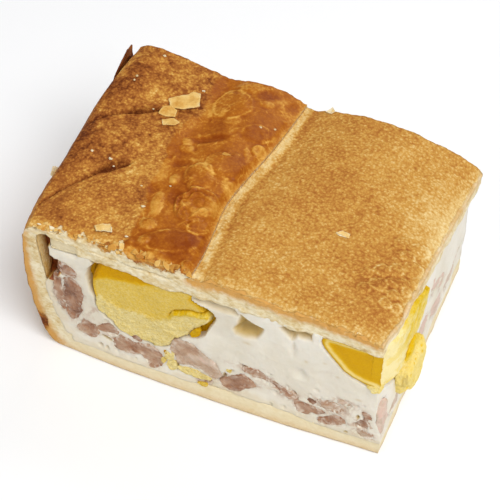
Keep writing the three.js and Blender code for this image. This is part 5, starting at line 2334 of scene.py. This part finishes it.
@dataclass
class Studio:
    """Pale floor, soft lights and the camera."""

    azimuth: float = 23.0
    elevation: float = 47.5
    distance: float = 386.5
    target: Triple = (0.0, 0.0, 22.0)
    pan: tuple[float, float] = (-1.463, 0.248)
    lens: float = 100.8
    floor_tone: Color = tone(247, 248, 250)

    def build(self) -> None:
        """Sets up the floor, the lights and the camera."""
        bpy.context.scene.view_settings.view_transform = "Standard"
        self._floor()
        self._lights()
        self._camera()

    def _floor(self) -> None:
        """Lays the floor."""
        shape = bmesh.new()
        bmesh.ops.create_grid(shape, x_segments=2, y_segments=2, size=3.0)
        bmesh.ops.translate(shape, verts=shape.verts[:], vec=Vector((0, 0, -0.0004)))
        mesh = bpy.data.meshes.new("floor")
        shape.to_mesh(mesh)
        shape.free()
        finish, _, shader = material("pale_floor")
        shader.inputs["Base Color"].default_value = self.floor_tone
        shader.inputs["Roughness"].default_value = 0.9
        mesh.materials.append(finish)
        floor = bpy.data.objects.new("floor", mesh)
        bpy.context.scene.collection.objects.link(floor)

    def _lights(self) -> None:
        """Hangs large soft lights and an even sky."""
        world = bpy.data.worlds.new("studio")
        world.use_nodes = True
        sky = world.node_tree.nodes["Background"]
        sky.inputs["Color"].default_value = (1.0, 0.985, 0.96, 1.0)
        sky.inputs["Strength"].default_value = 0.34
        bpy.context.scene.world = world
        for name, place, size, power in (
            ("key", (0.45, -0.3, 0.75), 0.5, 6.4),
            ("fill", (-0.6, -0.45, 0.5), 0.6, 1.8),
            ("rim", (0.1, 0.7, 0.6), 0.6, 2.0),
        ):
            lamp = bpy.data.lights.new(name, "AREA")
            lamp.energy = power
            lamp.size = size
            light = bpy.data.objects.new(name, lamp)
            light.location = place
            away = Vector((0, 0, 0.02)) - Vector(place)
            light.rotation_euler = away.to_track_quat("-Z", "Y").to_euler()
            bpy.context.scene.collection.objects.link(light)

    def _camera(self) -> None:
        """Places the camera at the photograph's angle."""
        turn, lift = math.radians(self.azimuth), math.radians(self.elevation)
        back = Vector((math.sin(turn) * math.cos(lift), -math.cos(turn) * math.cos(lift), math.sin(lift)))
        right = Vector((math.cos(turn), math.sin(turn), 0.0))
        up = back.cross(right)
        aim = Vector(self.target) - Vector((*SHAPE.centre, 0.0)) + right * self.pan[0] + up * self.pan[1]
        lens = bpy.data.cameras.new("camera")
        lens.lens = self.lens
        lens.sensor_width = 36.0
        camera = bpy.data.objects.new("camera", lens)
        axes = Matrix((right, up, back)).transposed().to_4x4()
        camera.matrix_world = Matrix.Translation((aim + back * self.distance) * MILLIMETRE) @ axes
        bpy.context.scene.collection.objects.link(camera)
        bpy.context.scene.camera = camera


def main() -> None:
    """Builds the slice's pieces in order, then the studio round them."""
    logging.basicConfig(level=logging.INFO)
    effects = Effects()
    case_finish = CrustFinish("baked_case", 1.25, 0.52, 0.34).make(effects)
    lid_finish = CrustFinish("baked_lid", 1.05, 0.3, 0.15, LID_STOPS).make(effects)
    flake_finish = CrustFinish("baked_flakes", 0.25, 0.15, 0.1).make(effects)
    yolk_finish = YolkFinish().make(effects)
    case = PastryCase()
    bacon = BaconBed()
    left = LeftYolk(-14.8, SHAPE.front + 2.2, 27.2, 18.6, 17.5, 16.0, 0.66)
    right = RightYolk(47.5, SHAPE.front + 11.5, 36.5, 18.5, 19.5, 12.0)
    case.build(case_finish)
    PastryLid().build(lid_finish)
    EggWhite().build(EggWhiteFinish().make(effects), bacon, right)
    bacon.build(BaconFinish().make(effects))
    left.build(yolk_finish)
    right.build(yolk_finish)
    LooseFlakes().build(flake_finish, case)
    Studio().build()


if __name__ == "__main__":
    main()
